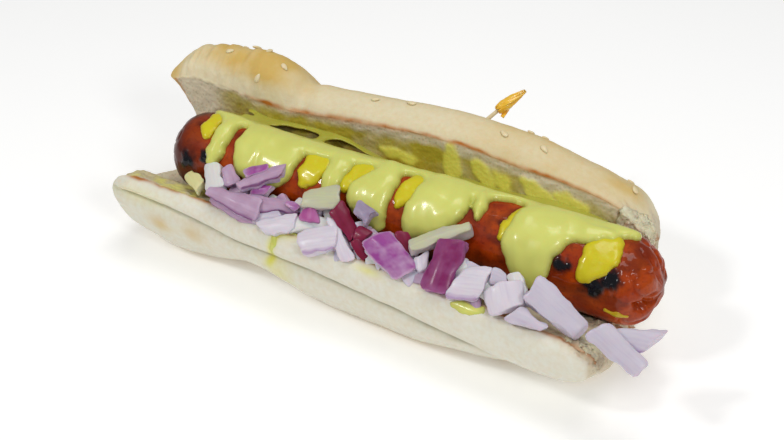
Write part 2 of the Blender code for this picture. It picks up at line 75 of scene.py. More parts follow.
# The bun along its length: x, the back rim's y and z, the crown's z, the front rim's y and z, the
# height of the crease along the front, and the height of the front's underside at UNDER_Y.
BUN_PROFILE = (
    (-94.0, 16.0, 44.5, 50.0, -19.0, 29.5, 25.0, 13.0),
    (-83.0, 16.0, 48.0, 55.0, -19.5, 30.0, 25.5, 10.5),
    (-70.0, 16.0, 47.0, 57.0, -20.0, 30.0, 24.0, 7.8),
    (-56.0, 16.0, 45.2, 57.0, -20.5, 30.0, 21.4, 8.6),
    (-42.0, 16.0, 45.2, 50.5, -21.5, 30.0, 19.8, 10.6),
    (-22.0, 16.0, 47.0, 51.0, -23.0, 29.5, 18.9, 5.6),
    (8.0, 16.0, 48.2, 52.3, -25.0, 29.0, 16.6, 2.6),
    (30.0, 16.0, 45.5, 50.3, -26.8, 28.5, 14.4, 3.2),
    (50.0, 16.0, 43.2, 45.2, -28.8, 28.0, 13.4, 5.6),
    (62.0, 16.0, 39.8, 41.0, -30.0, 27.5, 14.2, 5.6),
    (71.0, 16.0, 33.0, 34.0, -31.0, 27.0, 16.0, 9.0),
)

# Where the sauce over the sausage ends, in degrees round the sausage from its back, and how high
# up the bun's inner wall it reaches: x, front edge, wall height.
SAUCE_COVER = (
    (-66.0, 80.0, 42.0),
    (-60.0, 96.0, 41.5),
    (-57.0, 106.0, 40.5),
    (-53.0, 88.0, 40.0),
    (-46.0, 112.0, 40.4),
    (-27.0, 108.0, 40.4),
    (-18.0, 104.0, 37.4),
    (-10.0, 98.0, 35.4),
    (3.0, 90.0, 34.8),
    (8.0, 94.0, 35.6),
    (15.0, 110.0, 36.8),
    (24.0, 98.0, 36.4),
    (32.0, 83.0, 36.6),
    (37.0, 83.0, 37.2),
    (43.0, 112.0, 37.6),
    (54.0, 118.0, 35.8),
    (61.0, 108.0, 34.0),
    (66.0, 98.0, 31.6),
    (69.5, 92.0, 29.5),
)

# The sauce's fingers down the front of the sausage: x, degrees round the sausage, half a width.
FINGERS = (
    ((-57.4, 84, 3.0), (-57.5, 110, 3.0), (-57.8, 140, 2.9), (-57.8, 152, 2.2)),
    ((-45.4, 84, 6.2), (-45.8, 120, 6.2), (-45.6, 140, 5.6)),
    ((-38.5, 84, 6.5), (-38.5, 120, 6.4), (-38.8, 142, 6.0)),
    ((-34.5, 84, 5.0), (-34.5, 108, 4.4), (-35.5, 140, 4.4)),
    ((-17.6, 84, 4.2), (-17.6, 108, 3.5), (-18.3, 130, 3.3), (-18.0, 148, 2.6)),
    ((-3.4, 84, 4.0), (-3.2, 110, 4.6), (-5.8, 138, 6.6), (-3.6, 155, 4.4), (-1.4, 170, 2.2)),
    ((15.5, 84, 7.6), (15.2, 115, 8.2), (12.8, 138, 7.2), (9.8, 156, 3.8), (9.0, 166, 1.8)),
    ((25.5, 90, 2.4), (26.4, 108, 1.9), (26.8, 122, 1.2)),
    ((46.5, 84, 7.0), (45.0, 110, 8.4), (43.2, 135, 7.6), (44.2, 158, 6.2), (45.2, 174, 4.0)),
    ((52.0, 84, 5.0), (57.0, 96, 3.6), (63.0, 92, 2.6)),
    ((57.0, 72, 6.5), (64.0, 72, 4.6), (68.2, 74, 2.4)),
    ((-58.0, 72, 6.0), (-63.0, 66, 3.6), (-65.0, 60, 2.4)),
)
# Where the sheet of sauce between the sausage and the bun's wall starts and ends along the bun.
SHEET_LEFT, SHEET_RIGHT = -61.5, 61.5
# Openings in that sheet beside the bun's wall: x, millimetres round from the top, half a width.
OPENINGS = (
    ((-48.5, -9.4, 1.0), (-44.5, -9.8, 3.6), (-39.5, -9.8, 4.4), (-37.0, -9.8, 4.0)),
    ((-26.0, -9.8, 4.0), (-22.5, -9.8, 4.4), (-17.0, -9.4, 3.4), (-9.5, -8.6, 1.2)),
)
# Mustard beside and under the sauce, as the fingers.
MUSTARD = (
    ((-62.4, 62, 1.6), (-63.4, 88, 2.4), (-63.4, 110, 2.6), (-63.0, 122, 1.5)),
    ((-23.5, 96, 3.6), (-24.6, 114, 4.4), (-26.0, 134, 3.6), (-26.8, 146, 1.6)),
    ((-9.6, 94, 3.4), (-10.6, 112, 3.8), (-13.2, 130, 2.6), (-14.0, 138, 1.2)),
    ((7.4, 96, 4.4), (5.2, 114, 3.4), (3.9, 128, 2.0), (3.4, 138, 1.2)),
    ((39.4, 88, 2.2), (37.4, 108, 2.4), (36.0, 124, 2.2), (35.2, 138, 1.3)),
    ((63.2, 104, 4.4), (62.9, 120, 4.9), (61.6, 136, 4.2), (60.2, 149, 2.7), (59.2, 158, 1.4)),
)
MUSTARD_STREAK = ((67.0, 192, 0.5), (70.0, 195, 0.9), (72.5, 197, 0.5))
# Sauce smeared on the bun's wall: x, distance out over the rim, half a width.
WALL_SMEARS = (
    ((8.0, -1.4, 1.8), (9.2, -4.5, 2.8), (10.2, -9.0, 3.2)),
    ((16.0, -4.2, 1.4), (19.0, -6.0, 2.8), (21.5, -9.0, 2.8)),
    ((23.0, -4.4, 1.0), (26.0, -6.4, 2.2), (27.5, -9.0, 2.0)),
    ((32.0, -3.2, 1.4), (35.5, -5.0, 2.8), (40.5, -7.4, 2.8)),
    ((42.0, -4.4, 1.3), (46.0, -5.4, 2.6), (50.0, -6.4, 2.6)),
    ((-14.0, -7.0, 1.0), (-9.5, -7.5, 2.0), (-4.0, -9.0, 2.0)),
)
# Sauce on the front lip: x, distance out over the rim, half a width.
LIP_DRIPS = (
    ((29.5, 2.6, 0.9), (33.5, 2.4, 1.7), (38.0, 1.0, 1.1)),
    ((-30.0, 0.6, 0.8), (-26.5, 0.2, 1.1), (-22.5, -0.2, 0.7)),
    ((-28.2, 1.0, 1.0), (-28.8, 5.0, 0.8), (-29.6, 9.5, 0.5)),
)

# The slope of chopped onion, from just over the front lip up to the side of the sausage.
HEAP_FOOT_Y, HEAP_FOOT_SPLAY, HEAP_FOOT_Z = -24.0, -0.1, 32.0
HEAP_SLOPE = 45.0
LONGER, WIDER, THICKER = 1.04, 1.08, 1.2

# Chopped red onion on that slope: name, place along the bun, up the slope and off it, turns about
# its length, its width and the slope's normal, length, width and slant of each end, thickness. Each
# piece is made LONGER, WIDER and THICKER than its row by a few percent.
ONIONS = (
    ("onion_pale_1", -54.5, 4.5, 1, (0, -20, -50), 10, (5, 5.5), (2.5, 1), 2.6),
    ("onion_gold_1", -61.5, 1.5, -0.5, (-15, -15, -25), 7.5, (3.5, 4), (0, -1.5), 2.2),
    ("onion_lilac_1", -49, 6.5, 1.5, (-15, 0, -50), 5.5, (3.5, 4.5), (-0.5, 0), 2.4),
    ("onion_lilac_2", -38, 9, 2, (-10, 15, 40), 14.5, (3, 3.5), (-1, 2.5), 2.6),
    ("onion_purple_1", -40, 10.5, 2.5, (-25, 20, 40), 6.5, (3, 2.5), (0, 0.5), 2),
    ("onion_lilac_3", -44, 0, 3, (-5, 5, -5), 17, (3, 7), (0, -0.5), 2),
    ("onion_lilac_4", -45.5, -3, 1, (5, 0, -15), 15, (2.5, 2), (0.5, 5), 2),
    ("onion_lilac_5", -33, 3, -0.5, (-10, 10, 10), 13.5, (5, 3), (-2, -4.5), 2),
    ("onion_purple_2", -37.5, 6, 0.5, (0, 5, 10), 4.5, (2.5, 3), (1, 2), 2),
    ("onion_white_1", -28, -2, 0.5, (-5, 5, 25), 11, (4, 5), (-3, 1), 3),
    ("onion_purple_3", -26.5, 5, -0.5, (-10, 5, -15), 4, (1, 2), (0.5, 1), 1.6),
    ("onion_grey_1", -18, 9.5, 0, (-15, 10, 20), 10.5, (5, 7), (0.5, -1), 2.6),
    ("onion_pink_1", -19.5, 5.5, 0, (0, 5, -80), 6, (1.5, 6), (0.5, 1), 2.4),
    ("onion_white_2", -13.5, -2, 1, (-5, 5, 25), 10.5, (6.5, 6), (-1, 2), 3.6),
    ("onion_white_3", -8, 0.5, 0, (-10, 5, -50), 12, (2.5, 4), (2.5, 1), 2.6),
    ("onion_dark_1", -8.5, 6, 0, (-20, 10, -40), 9.5, (5, 3.5), (-1, -2.5), 2.6),
    ("onion_dark_2", -2, 4, -1, (-15, 5, -5), 3.5, (3.5, 3.5), (-0.5, 1.5), 2.2),
    ("onion_dark_3", -1.5, 0, -1, (-10, 15, -40), 6, (2.5, 2.5), (0, 0), 2.2),
    ("onion_slate_1", -3.5, 10, -0.5, (-15, 0, -20), 5.5, (3, 5), (-1, 0.5), 2.2),
    ("onion_purple_4", 8.5, 1.5, -0.5, (-5, 5, -30), 14, (8, 7.5), (2.5, 2), 3),
    ("onion_dark_4", 11, 6, -1.5, (-25, 5, -55), 6.5, (3.5, 3), (0.5, -0.5), 2.2),
    ("onion_grey_2", 20, 11, -2.5, (-15, 20, 40), 17.5, (4, 3.5), (1, 1), 2.6),
    ("onion_plum_1", 24.5, 4, -1, (-5, -5, -90), 14.5, (7.5, 7.5), (-1.5, -1), 4),
    ("onion_white_4", 17.5, 2.5, -2, (-10, -5, -65), 4.5, (4, 2), (-1.5, -1), 2.4),
    ("onion_white_5", 33, 2, -1.5, (-5, 5, 10), 8, (8.5, 9), (4.5, 3), 3.2),
    ("onion_lilac_6", 39.5, 6, -2.5, (-10, 15, -10), 4, (4.5, 3.5), (-1, -1), 2.4),
    ("onion_white_6", 43.5, 1.5, -2, (-10, 0, -60), 7, (10, 9), (0, -0.5), 4.6),
    ("onion_lilac_7", 57.5, 3.5, -1.5, (-10, 10, -25), 16.5, (7.5, 5.5), (-0.5, 1), 3.2),
    ("onion_pink_2", 51.5, -2, -0.5, (-10, 5, -10), 9, (4.5, 2), (2.5, 1.5), 2.2),
    ("onion_lilac_8", 76, -0.5, -0.5, (-5, 10, -25), 14.5, (6, 5), (1.5, 1), 3),
    ("onion_lilac_9", 78, 4, -4, (-10, 15, 5), 11, (1.5, 7.5), (1.5, 6.5), 2.8),
)
FROSTED = ("onion_lilac_6", "onion_lilac_7", "onion_lilac_8", "onion_lilac_9", "onion_pink_2")
SKIN_LINED = ("onion_lilac_2", "onion_lilac_3", "onion_lilac_4", "onion_lilac_5", "onion_lilac_9",
              "onion_white_2", "onion_white_5")

# Small pieces that fill the hollows between them: kind, place, turn, length and width.
ONION_FILL = (
    ("pale", -21.5, 0.5, -0.8, 20, 9.0, 4.6),
    ("pale", -17.0, 3.0, -1.4, -10, 7.0, 4.4),
    ("lilac", -44.5, 3.6, -0.8, 15, 8.0, 4.4),
    ("frost", -33.0, -0.6, -0.6, 20, 8.5, 4.0),
    ("frost", 4.5, -0.5, -1.4, -40, 6.0, 4.0),
    ("pale", 28.5, 4.5, -2.6, -60, 7.0, 4.6),
    ("frost", 48.0, 3.5, -2.8, 10, 7.0, 4.2),
)

# Each kind of onion piece: its broad face, its cut edge, and the fine veins in the face.
ONION_COLOURS = {
    "pale": ("D8D6D0", "D2CFD2", "BFB2C8"),
    "white": ("D2CBD3", "D0C6D2", "A98BB4"),
    "gold": ("D2CC92", "D4D0A0", "C0B478"),
    "grey": ("BCBE98", "B4ACA8", "9E88A2"),
    "slate": ("8F8098", "B0A4B8", "60486C"),
    "lilac": ("AE8FA8", "C2ACC4", "743A70"),
    "frost": ("C1BAC6", "C9C0CE", "A08AB0"),
    "pink": ("A8508E", "C48CB8", "84307A"),
    "purple": ("94418E", "D0BED0", "6E2468"),
    "plum": ("7A1A57", "A06494", "540A3C"),
    "dark": ("72092E", "8C2450", "44031C"),
}

PICK_WAY = Vector((0.55, 0.62, 0.56)).normalized()
PICK_FOOT = Vector((7.4, 36.5, 41.0))
STICK_RADIUS = 0.75
STICK_SUNK, STICK_OUT = 18.0, 15.0
FRILL_LEAVES = 7
FILM_THICKNESS = 0.12
FRILL_START, FRILL_LENGTH = 9.4, 10.0
FRILL_LEAN = Vector((0.9, 0.4, -0.2))
CURL_WAY = Vector((0.85, 0.1, -0.5)).normalized()


# ---------------------------------------------------------------- small helpers


def linear(code):
    """An sRGB hex colour as linear RGBA."""
    channels = [int(code[i : i + 2], 16) / 255 for i in (0, 2, 4)]
    return (*[c / 12.92 if c <= 0.04045 else ((c + 0.055) / 1.055) ** 2.4 for c in channels], 1.0)


def mix(a, b, share):
    return a + (b - a) * share


def ease(value, start, end):
    """0 before start, 1 after end, smooth between."""
    t = np.clip((np.asarray(value, float) - start) / (end - start), 0.0, 1.0)
    return t * t * (3.0 - 2.0 * t)


def hump(value, middle, width):
    """1 at the middle, fading smoothly to both sides."""
    return np.exp(-(((np.asarray(value, float) - middle) / width) ** 2))


def along(table, at):
    """Rows of a table at places between its rows, on a smooth curve through them."""
    rows = np.array(table, float)
    at = np.atleast_1d(np.asarray(at, float))
    i = np.clip(np.searchsorted(rows[:, 0], at) - 1, 0, len(rows) - 2)
    a, b = rows[i], rows[i + 1]
    before, after = rows[np.maximum(i - 1, 0)], rows[np.minimum(i + 2, len(rows) - 1)]
    t = np.clip((at - a[:, 0]) / (b[:, 0] - a[:, 0]), 0.0, 1.0)[:, None]
    bend = (2 * before - 5 * a + 4 * b - after) * t * t + (3 * a - before - 3 * b + after) * t**3
    return (0.5 * (2 * a + (b - before) * t + bend))[:, 1:]


def even(points, count):
    """count points at even distances along a smooth curve through the given (y, z) points."""
    rows = [(i, *p) for i, p in enumerate(points)]
    fine = along(rows, np.linspace(0, len(points) - 1, 12 * (len(points) - 1) + 1))
    walked = np.concatenate([[0.0], np.cumsum(np.hypot(*np.diff(fine, axis=0).T))])
    target = np.linspace(0.0, walked[-1], count)
    return np.stack([np.interp(target, walked, fine[:, k]) for k in (0, 1)], axis=1)


def rough(points, size, octaves=1, place=0.0):
    """Smooth noise, about -1 to 1, at points in millimetres; size is the width of a lump."""
    lift = Vector((place, 0.7 * place, -place))
    scale = Vector((1.0 / s for s in np.broadcast_to(size, 3)))
    return np.array([noise.fractal(Vector(p) * scale + lift, 1.0, 2.0, octaves) for p in points])


def rough_flat(a, b, size, octaves=1, place=0.0):
    """As rough, over two distances."""
    return rough(np.stack([a, b, 0 * a], axis=1), size, octaves, place)


def soft_most(a, b, over):
    """The larger of a and b, rounded where they are nearly the same."""
    share = np.clip(0.5 + 0.5 * (a - b) / over, 0.0, 1.0)
    return b + (a - b) * share + over * share * (1.0 - share)


def stroke_depth(strokes, a, b, over=1.2):
    """How far inside the strokes each place (a, b) is, in millimetres; negative outside."""
    depth = np.full(a.shape, -50.0)
    for steps in strokes:
        for (a0, b0, r0), (a1, b1, r1) in zip(steps, steps[1:]):
            da, db = a1 - a0, b1 - b0
            t = np.clip(((a - a0) * da + (b - b0) * db) / (da * da + db * db), 0.0, 1.0)
            reach = r0 + (r1 - r0) * t - np.hypot(a - a0 - t * da, b - b0 - t * db)
            depth = soft_most(depth, reach, over)
    return depth


def vert_places(work):
    return np.array([vert.co[:] for vert in work.verts])


def set_layer(work, name, values):
    """Stores one number a vertex, which a material reads by its name."""
    layer = work.verts.layers.float.get(name) or work.verts.layers.float.new(name)
    for vert, value in zip(work.verts, values):
        vert[layer] = value


def wrap(work, points, heights):
    """Closes a flat grid round the given points and raises each by its height, in millimetres."""
    set_layer(work, "height", heights)
    for vert, point in zip(work.verts, points):
        vert.co = point
    bmesh.ops.remove_doubles(work, verts=work.verts, dist=1e-3)
    bmesh.ops.recalc_face_normals(work, faces=work.faces)
    work.normal_update()
    layer = work.verts.layers.float["height"]
    for vert, move in [(vert, vert.normal * vert[layer]) for vert in work.verts]:
        vert.co += move


def add_to(joined, work):
    """Adds one finished shape to another."""
    mesh = bpy.data.meshes.new("part")
    work.to_mesh(mesh)
    work.free()
    joined.from_mesh(mesh)
    bpy.data.meshes.remove(mesh)


def shown(name, work, material, replaces=()):
    """Makes a piece of a bmesh in millimetres, in its place on the frame."""
    bmesh.ops.translate(work, vec=SHIFT, verts=work.verts)
    bmesh.ops.scale(work, vec=(MM, MM, MM), verts=work.verts)
    for face in work.faces:
        face.smooth = True
    mesh = bpy.data.meshes.new(name)
    work.to_mesh(mesh)
    work.free()
    if not mesh.polygons:
        raise RuntimeError(f"{name} came out empty")
    piece = bpy.data.objects.new(name, mesh)
    bpy.context.scene.collection.objects.link(piece)
    mesh.materials.append(material)
    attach(piece, "root")
    if replaces:
        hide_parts(*replaces)
    return piece


def add(tree, kind, inputs=(), **settings):
    """A shader node with its settings; each input is a value or another node's output."""
    made = tree.nodes.new(kind)
    for key, value in settings.items():
        setattr(made, key, value)
    for key, value in dict(inputs).items():
        if isinstance(value, bpy.types.NodeSocket):
            tree.links.new(value, made.inputs[key])
        else:
            made.inputs[key].default_value = value
    return made


def new_finish(name, **values):
    """A material with a Principled shader whose sockets hold the given values."""
    finish = bpy.data.materials.new(name)
    finish.use_nodes = True
    shader = finish.node_tree.nodes["Principled BSDF"]
    for key, value in values.items():
        shader.inputs[key.replace("_", " ")].default_value = value
    return finish, finish.node_tree, shader


# ---------------------------------------------------------------- shapes of the frame's parts


def axis_height(x):
    return SAUSAGE_HEIGHT + SAUSAGE_SLOPE * x


def sausage_radius(x):
    """The sausage's radius at x, rounded off at both ends."""
    into = np.maximum(SAUSAGE_LEFT + END_ROUNDING - x, x - SAUSAGE_RIGHT + END_ROUNDING)
    return SAUSAGE_RADIUS * np.sqrt(1 - np.clip(into / END_ROUNDING, 0.0, 1.0) ** 2.4)


def round_sausage(x, degrees, reach):
    """A (y, z) point at a distance from the sausage's axis; 0 degrees is its back, 90 its top."""
    angle = math.radians(degrees)
    return reach * math.cos(angle), axis_height(x) + reach * math.sin(angle)


def crumb_side(x):
    """The cut faces at x, from the front rim through the groove to the back rim."""
    back_y, back_z, _, rim_y, rim_z, _, _ = along(BUN_PROFILE, x)[0]
    reach = SAUSAGE_RADIUS + GAP + 0.5
    low = float(ease(x, 20.0, 65.0))
    shelf_y, shelf_z = round_sausage(x, mix(205, 228, low), reach)
    wall_y, wall_z = round_sausage(x, 0, reach)
    return [
        (rim_y, rim_z),
        (mix(rim_y, shelf_y, 0.5), mix(rim_z, shelf_z, 0.5)),
        (shelf_y, shelf_z),
        round_sausage(x, mix(238, 246, low), reach),
        round_sausage(x, 270, reach),
        round_sausage(x, 302, reach),
        round_sausage(x, 332, reach),
        (wall_y, wall_z),
        (mix(wall_y, back_y, 0.55), mix(wall_z, back_z, 0.5)),
        (back_y, back_z),
    ]


def crust_side(x):
    """The crust at x, from the front rim down round the underside and up to the back rim."""
    back_y, back_z, crown, rim_y, rim_z, crease, under = along(BUN_PROFILE, x)[0]
    tuck = float(ease(x, 25.0, 55.0))
    fold_y = rim_y - 1.8 + 6.0 * tuck
    belly_y = rim_y + 3.0 + 5.0 * tuck
    floor_y = UNDER_Y - under / UNDER_SLOPE + 2.0
    return [
        (rim_y, rim_z),
        (rim_y - 2.6, rim_z - 1.4),
        (rim_y - 4.0, mix(rim_z, crease, 0.5)),
        (rim_y - 1.2, crease),
        (fold_y, mix(crease, under + UNDER_SLOPE * (fold_y - UNDER_Y), 0.5)),
        (belly_y, under + UNDER_SLOPE * (belly_y - UNDER_Y) + 0.4),
        (floor_y, -0.3),
        (6.0, -0.6),
        (26.0, -0.6),
        (36.5, 6.0),
        (BUN_BACK, 19.0),
        (BUN_BACK - 1.0, 0.62 * crown),
        (35.5, 0.86 * crown),
        (27.0, crown),
        (19.5, mix(back_z, crown, 0.7)),
        (back_y, back_z),
    ]


class BunSurface:
    """The bun's skin as rings of points, and places on it by their distance from a rim."""

    def __init__(self, stations, side):
        t = np.linspace(0.0, 1.0, stations)
        t = mix(t, 0.5 - 0.5 * np.cos(np.pi * t), 0.6)
        self.x = mix(BUN_LEFT, BUN_RIGHT, t)
        self.side = side
        self.rings = np.array([self.ring(x) for x in self.x])
        steps = np.linalg.norm(np.diff(self.rings, axis=1, append=self.rings[:, :1]), axis=2)
        self.walked = np.concatenate([np.zeros((stations, 1)), np.cumsum(steps, axis=1)], axis=1)

    def ring(self, x):
        outer, inner = even(crust_side(x), self.side), even(crumb_side(x), self.side)
        middle = (outer + inner) / 2
        t = np.linspace(0.0, 1.0, self.side)
        t = mix(t, 0.5 - 0.5 * np.cos(np.pi * t), 0.72)
        steps = np.arange(self.side)
        outer, inner = (
            np.stack([np.interp(t * (self.side - 1), steps, line[:, k]) for k in (0, 1)], axis=1)
            for line in (outer, inner))
        near_left = min(max((x - BUN_LEFT) / 10.0, 0.0), 1.0)
        near_right = min(max((BUN_RIGHT - x) / 9.0, 0.0), 1.0)
        keep = math.sqrt((1 - (1 - near_left) ** 2.6) * (1 - (1 - near_right) ** 2.6))
        share = mix(0.05, 0.95, t) * (self.side - 1)
        core = np.stack([np.interp(share, steps, middle[:, k]) for k in (0, 1)], axis=1)
        ring = np.concatenate([mix(core, outer, keep), mix(core, inner, keep)[-2:0:-1]])
        y, z = ring.T
        slope, blunt = 7.5 * ease(-x, 66.0, 93.0), 5.0 * ease(-x, 80.0, 93.0)
        tucked = ease(y, -4.0, 12.0) * np.clip((46.0 - z) / 12.0, 0.0, 1.5)
        lip = ease(-y, 8.0, 16.0) * ease(z, 22.0, 30.0)
        return np.stack([x + slope * tucked + blunt * lip, y, np.maximum(z, 0.0)], axis=1)

    def at(self, x, distance, back):
        """Points at distances out over the back or front rim; negative is down the cut face."""
        found = []
        for one_x, out in zip(np.asarray(x, float), np.asarray(distance, float)):
            i = int(np.clip(np.searchsorted(self.x, one_x) - 1, 0, len(self.x) - 2))
            share = np.clip((one_x - self.x[i]) / (self.x[i + 1] - self.x[i]), 0.0, 1.0)
            pair = []
            for row in (i, i + 1):
                reach = self.walked[row]
                target = reach[self.side - 1] - out if back else out % reach[-1]
                closed = np.concatenate([self.rings[row], self.rings[row][:1]])
                pair.append([np.interp(target, reach, closed[:, k]) for k in range(3)])
            found.append(mix(np.array(pair[0]), np.array(pair[1]), share))
        return np.array(found)


BUN = BunSurface(stations=270, side=148)


def facing(surface, a, b):
    """Unit normals of a surface given by a function of two distances."""
    step = 0.2
    ahead = surface(a + step, b) - surface(a - step, b)
    aside = surface(a, b + step) - surface(a, b - step)
    normal = np.cross(ahead, aside)
    return normal / np.maximum(np.linalg.norm(normal, axis=1, keepdims=True), 1e-9)


MM_PER_DEGREE = math.radians(1.0) * (SAUSAGE_RADIUS + GAP)
BRIDGE_TOP = -5.4
BRIDGE_LENGTH = 12.0


def over_sausage(a, b):
    """The sausage's skin by x and millimetres round from its top, towards the front."""
    reach = sausage_radius(a)
    angle = np.pi / 2 + b / (SAUSAGE_RADIUS + GAP)
    return np.stack([a, reach * np.cos(angle), axis_height(a) + reach * np.sin(angle)], axis=1)


def over_sausage_and_wall(a, b):
    """As over_sausage, but leaving the back of the sausage in a sag that reaches the bun's wall."""
    skin = over_sausage(a, np.maximum(b, BRIDGE_TOP))
    angle = np.pi / 2 + BRIDGE_TOP / (SAUSAGE_RADIUS + GAP)
    t = np.clip((BRIDGE_TOP - b) / BRIDGE_LENGTH, 0.0, 1.2)[:, None]
    wall_z = along(SAUCE_COVER, a)[:, 1]
    start = over_sausage(a, np.full(a.shape, BRIDGE_TOP))
    bend = start + np.array([0.0, math.sin(angle), -math.cos(angle)]) * 5.0
    bend[:, 2] += 0.35 * (wall_z - 39.0)
    end = np.stack([a, np.full(a.shape, 16.6), wall_z], axis=1)
    sag = start * (1 - t) ** 2 + 2 * bend * t * (1 - t) + end * t**2
    return np.where((b < BRIDGE_TOP)[:, None], sag, skin)


def over_back_rim(a, b):
    return BUN.at(a, b, True)


def over_front_rim(a, b):
    return BUN.at(a, b, False)


def poured(surface, box, fine, depth_of, thick_of, thin_and_shade_of, rounding, sink):
    """A closed pool of sauce on a surface whose normals point inwards: a fine grid is trimmed to
    where depth_of is above zero, its rim is drawn on to that line, and its two sides part by the
    sauce's thickness."""
    (a0, a1), (b0, b1) = box
    work = bmesh.new()
    bmesh.ops.create_grid(
        work,
        x_segments=round((a1 - a0) / fine),
        y_segments=round((b1 - b0) / fine),
        size=0.5,
        matrix=Matrix.Translation(((a0 + a1) / 2, (b0 + b1) / 2, 0.0))
        @ Matrix.Diagonal((a1 - a0, b1 - b0, 1.0, 1.0)),
    )
    places = vert_places(work)
    inside = depth_of(places[:, 0], places[:, 1]) > 0
    outside = [face for face in work.faces if not any(inside[v.index] for v in face.verts)]
    bmesh.ops.delete(work, geom=outside, context="FACES")
    a, b = vert_places(work)[:, :2].T
    step = 0.05
    for _ in range(3):
        depth = depth_of(a, b)
        slope_a = (depth_of(a + step, b) - depth_of(a - step, b)) / (2 * step)
        slope_b = (depth_of(a, b + step) - depth_of(a, b - step)) / (2 * step)
        pull = np.where(depth < 0, -depth, 0.0) / np.maximum(slope_a**2 + slope_b**2, 0.3)
        a, b = a + pull * slope_a, b + pull * slope_b
    for vert, one_a, one_b in zip(work.verts, a, b):
        vert.co = (one_a, one_b, 0.0)
    rim = [vert for vert in work.verts if vert.is_boundary]
    bmesh.ops.smooth_vert(work, verts=rim, factor=0.5, use_axis_x=True, use_axis_y=True)
    twin = bmesh.ops.duplicate(work, geom=work.verts[:] + work.edges[:] + work.faces[:])
    lower = {g for g in twin["geom"] if isinstance(g, bmesh.types.BMVert)}
    bmesh.ops.reverse_faces(work, faces=[g for g in twin["geom"] if isinstance(g, bmesh.types.BMFace)])
    a, b = vert_places(work)[:, :2].T
    on_edge = np.array([v.is_boundary for v in work.verts])
    depth = np.where(on_edge, 0.0, np.maximum(depth_of(a, b), 0.0))
    lift = np.sqrt(1 - (1 - np.minimum(depth / rounding, 1.0)) ** 2)
    below = np.array([v in lower for v in work.verts])
    height = np.where(below, -sink * lift, thick_of(a, b) * lift)
    set_layer(work, "thin_and_shade", np.clip(thin_and_shade_of(b, depth), 0.0, 1.0))
    points = surface(a, b) - facing(surface, a, b) * height[:, None]
    for vert, point in zip(work.verts, points):
        vert.co = point
    bmesh.ops.remove_doubles(work, verts=[v for v in work.verts if v.is_boundary], dist=1e-4)
    bmesh.ops.reverse_faces(work, faces=work.faces[:])
    return work


def daub(surface, steps, margin, fine, ragged, thick_of, thin_and_shade_of, rounding, sink):
    """A pool of sauce along one stroke; its edge wanders by ragged: amount, size and place."""
    reach = np.array(steps)
    box = tuple((reach[:, k].min() - margin, reach[:, k].max() + margin) for k in (0, 1))
    amount, size, place = ragged
    return poured(
        surface, box, fine,
        lambda a, b: stroke_depth([steps], a, b) + amount * rough_flat(a, b, size, 2, place),
        thick_of, thin_and_shade_of, rounding, sink)


# ---------------------------------------------------------------- finishes


def dress(tree, shader, colour, height, strength, depth):
    """Gives a shader its colour, and a fine relief of the given depth in millimetres."""
    tree.links.new(colour, shader.inputs["Base Color"])
    bump = add(tree, "ShaderNodeBump", {"Height": height, "Strength": strength, "Distance": depth * MM})
    tree.links.new(bump.outputs["Normal"], shader.inputs["Normal"])


def bun_finish(look):
    """Baked soft roll: a thin matt crust, pale at the lip and golden on top, browned at the cut rims,
    with painted shade in the front crease and on the wall under the sauce's openings; inside an open white
    crumb whose small pores are darkened with painted shade, stained where the sauce soaked in."""
    finish, tree, shader = new_finish(
        "soft_roll_crust_and_crumb", Roughness=0.62, IOR=1.4, Subsurface_Weight=0.12,
        Subsurface_Scale=0.002, Specular_IOR_Level=0.3,
    )
    where = add(tree, "ShaderNodeTexCoord").outputs["Object"]
    zone = {name: add(tree, "ShaderNodeAttribute", attribute_name=name).outputs["Fac"]
            for name in ("crumb", "gold", "pale", "toast_and_shade", "stain", "drip", "crease")}
    # Blotches of 9 mm in the bake, freckles of 1.5 mm, and pores about 1.1 mm apart in the crumb.
    blotch, freckle = (
        add(tree, "ShaderNodeTexNoise", {"Vector": where, "Scale": scale, "Detail": detail}).outputs["Fac"]
        for scale, detail in ((110.0, 3.0), (650.0, 4.0)))
    pores = add(tree, "ShaderNodeTexVoronoi", {"Vector": where, "Scale": 900.0}).outputs["Distance"]
    # Crust and crumb are matt, sauce on them is wet, and the crumb's pores are darkened with painted
    # shade.
    uneven, freckled, pore_shade, wet = (
        add(tree, "ShaderNodeMapRange", {
            "Value": value, "From Min": low, "From Max": high, "To Min": first, "To Max": last,
        }).outputs["Result"]
        for value, low, high, first, last in (
            (blotch, 0.3, 0.7, 0.6, 1.25),
            (freckle, 0.35, 0.75, 0.0, 0.22),
            (pores, 0.1, 0.42, 0.38, 0.0),
            (zone["drip"], 0.0, 1.0, 0.62, 0.3),
        ))
    golden, soaked, toast_and_shade_share = (
        add(tree, "ShaderNodeMath", {0: zone[name], 1: uneven}, operation="MULTIPLY",
            use_clamp=True).outputs[0]
        for name in ("gold", "stain", "toast_and_shade"))
    crumb = add(tree, "ShaderNodeMix", {
        0: pore_shade, 6: linear(look.crumb), 7: linear(look.crumb_shade)}, data_type="RGBA").outputs[2]
    colour = linear(look.crust_cream)
    for share, over in (
        (zone["pale"], linear(look.crust_pale)),
        (golden, linear(look.crust_gold)),
        (freckled, linear(look.crust_gold)),
        (zone["crumb"], crumb),
        (soaked, linear(look.stain)),
        (zone["drip"], linear(look.drip_stain)),
        # The toast tone also paints the shade on the wall under the openings.
        (toast_and_shade_share, linear(look.toast_and_shade)),
        # Painted shade in the front crease.
        (zone["crease"], linear(look.crease)),
    ):
        colour = add(tree, "ShaderNodeMix", {0: share, 6: colour, 7: over}, data_type="RGBA").outputs[2]
    tree.links.new(wet, shader.inputs["Roughness"])
    relief = add(tree, "ShaderNodeMix", {0: zone["crumb"], 2: freckle, 3: pores}).outputs[0]
    dress(tree, shader, colour, relief, 0.35, 0.4)
    return finish


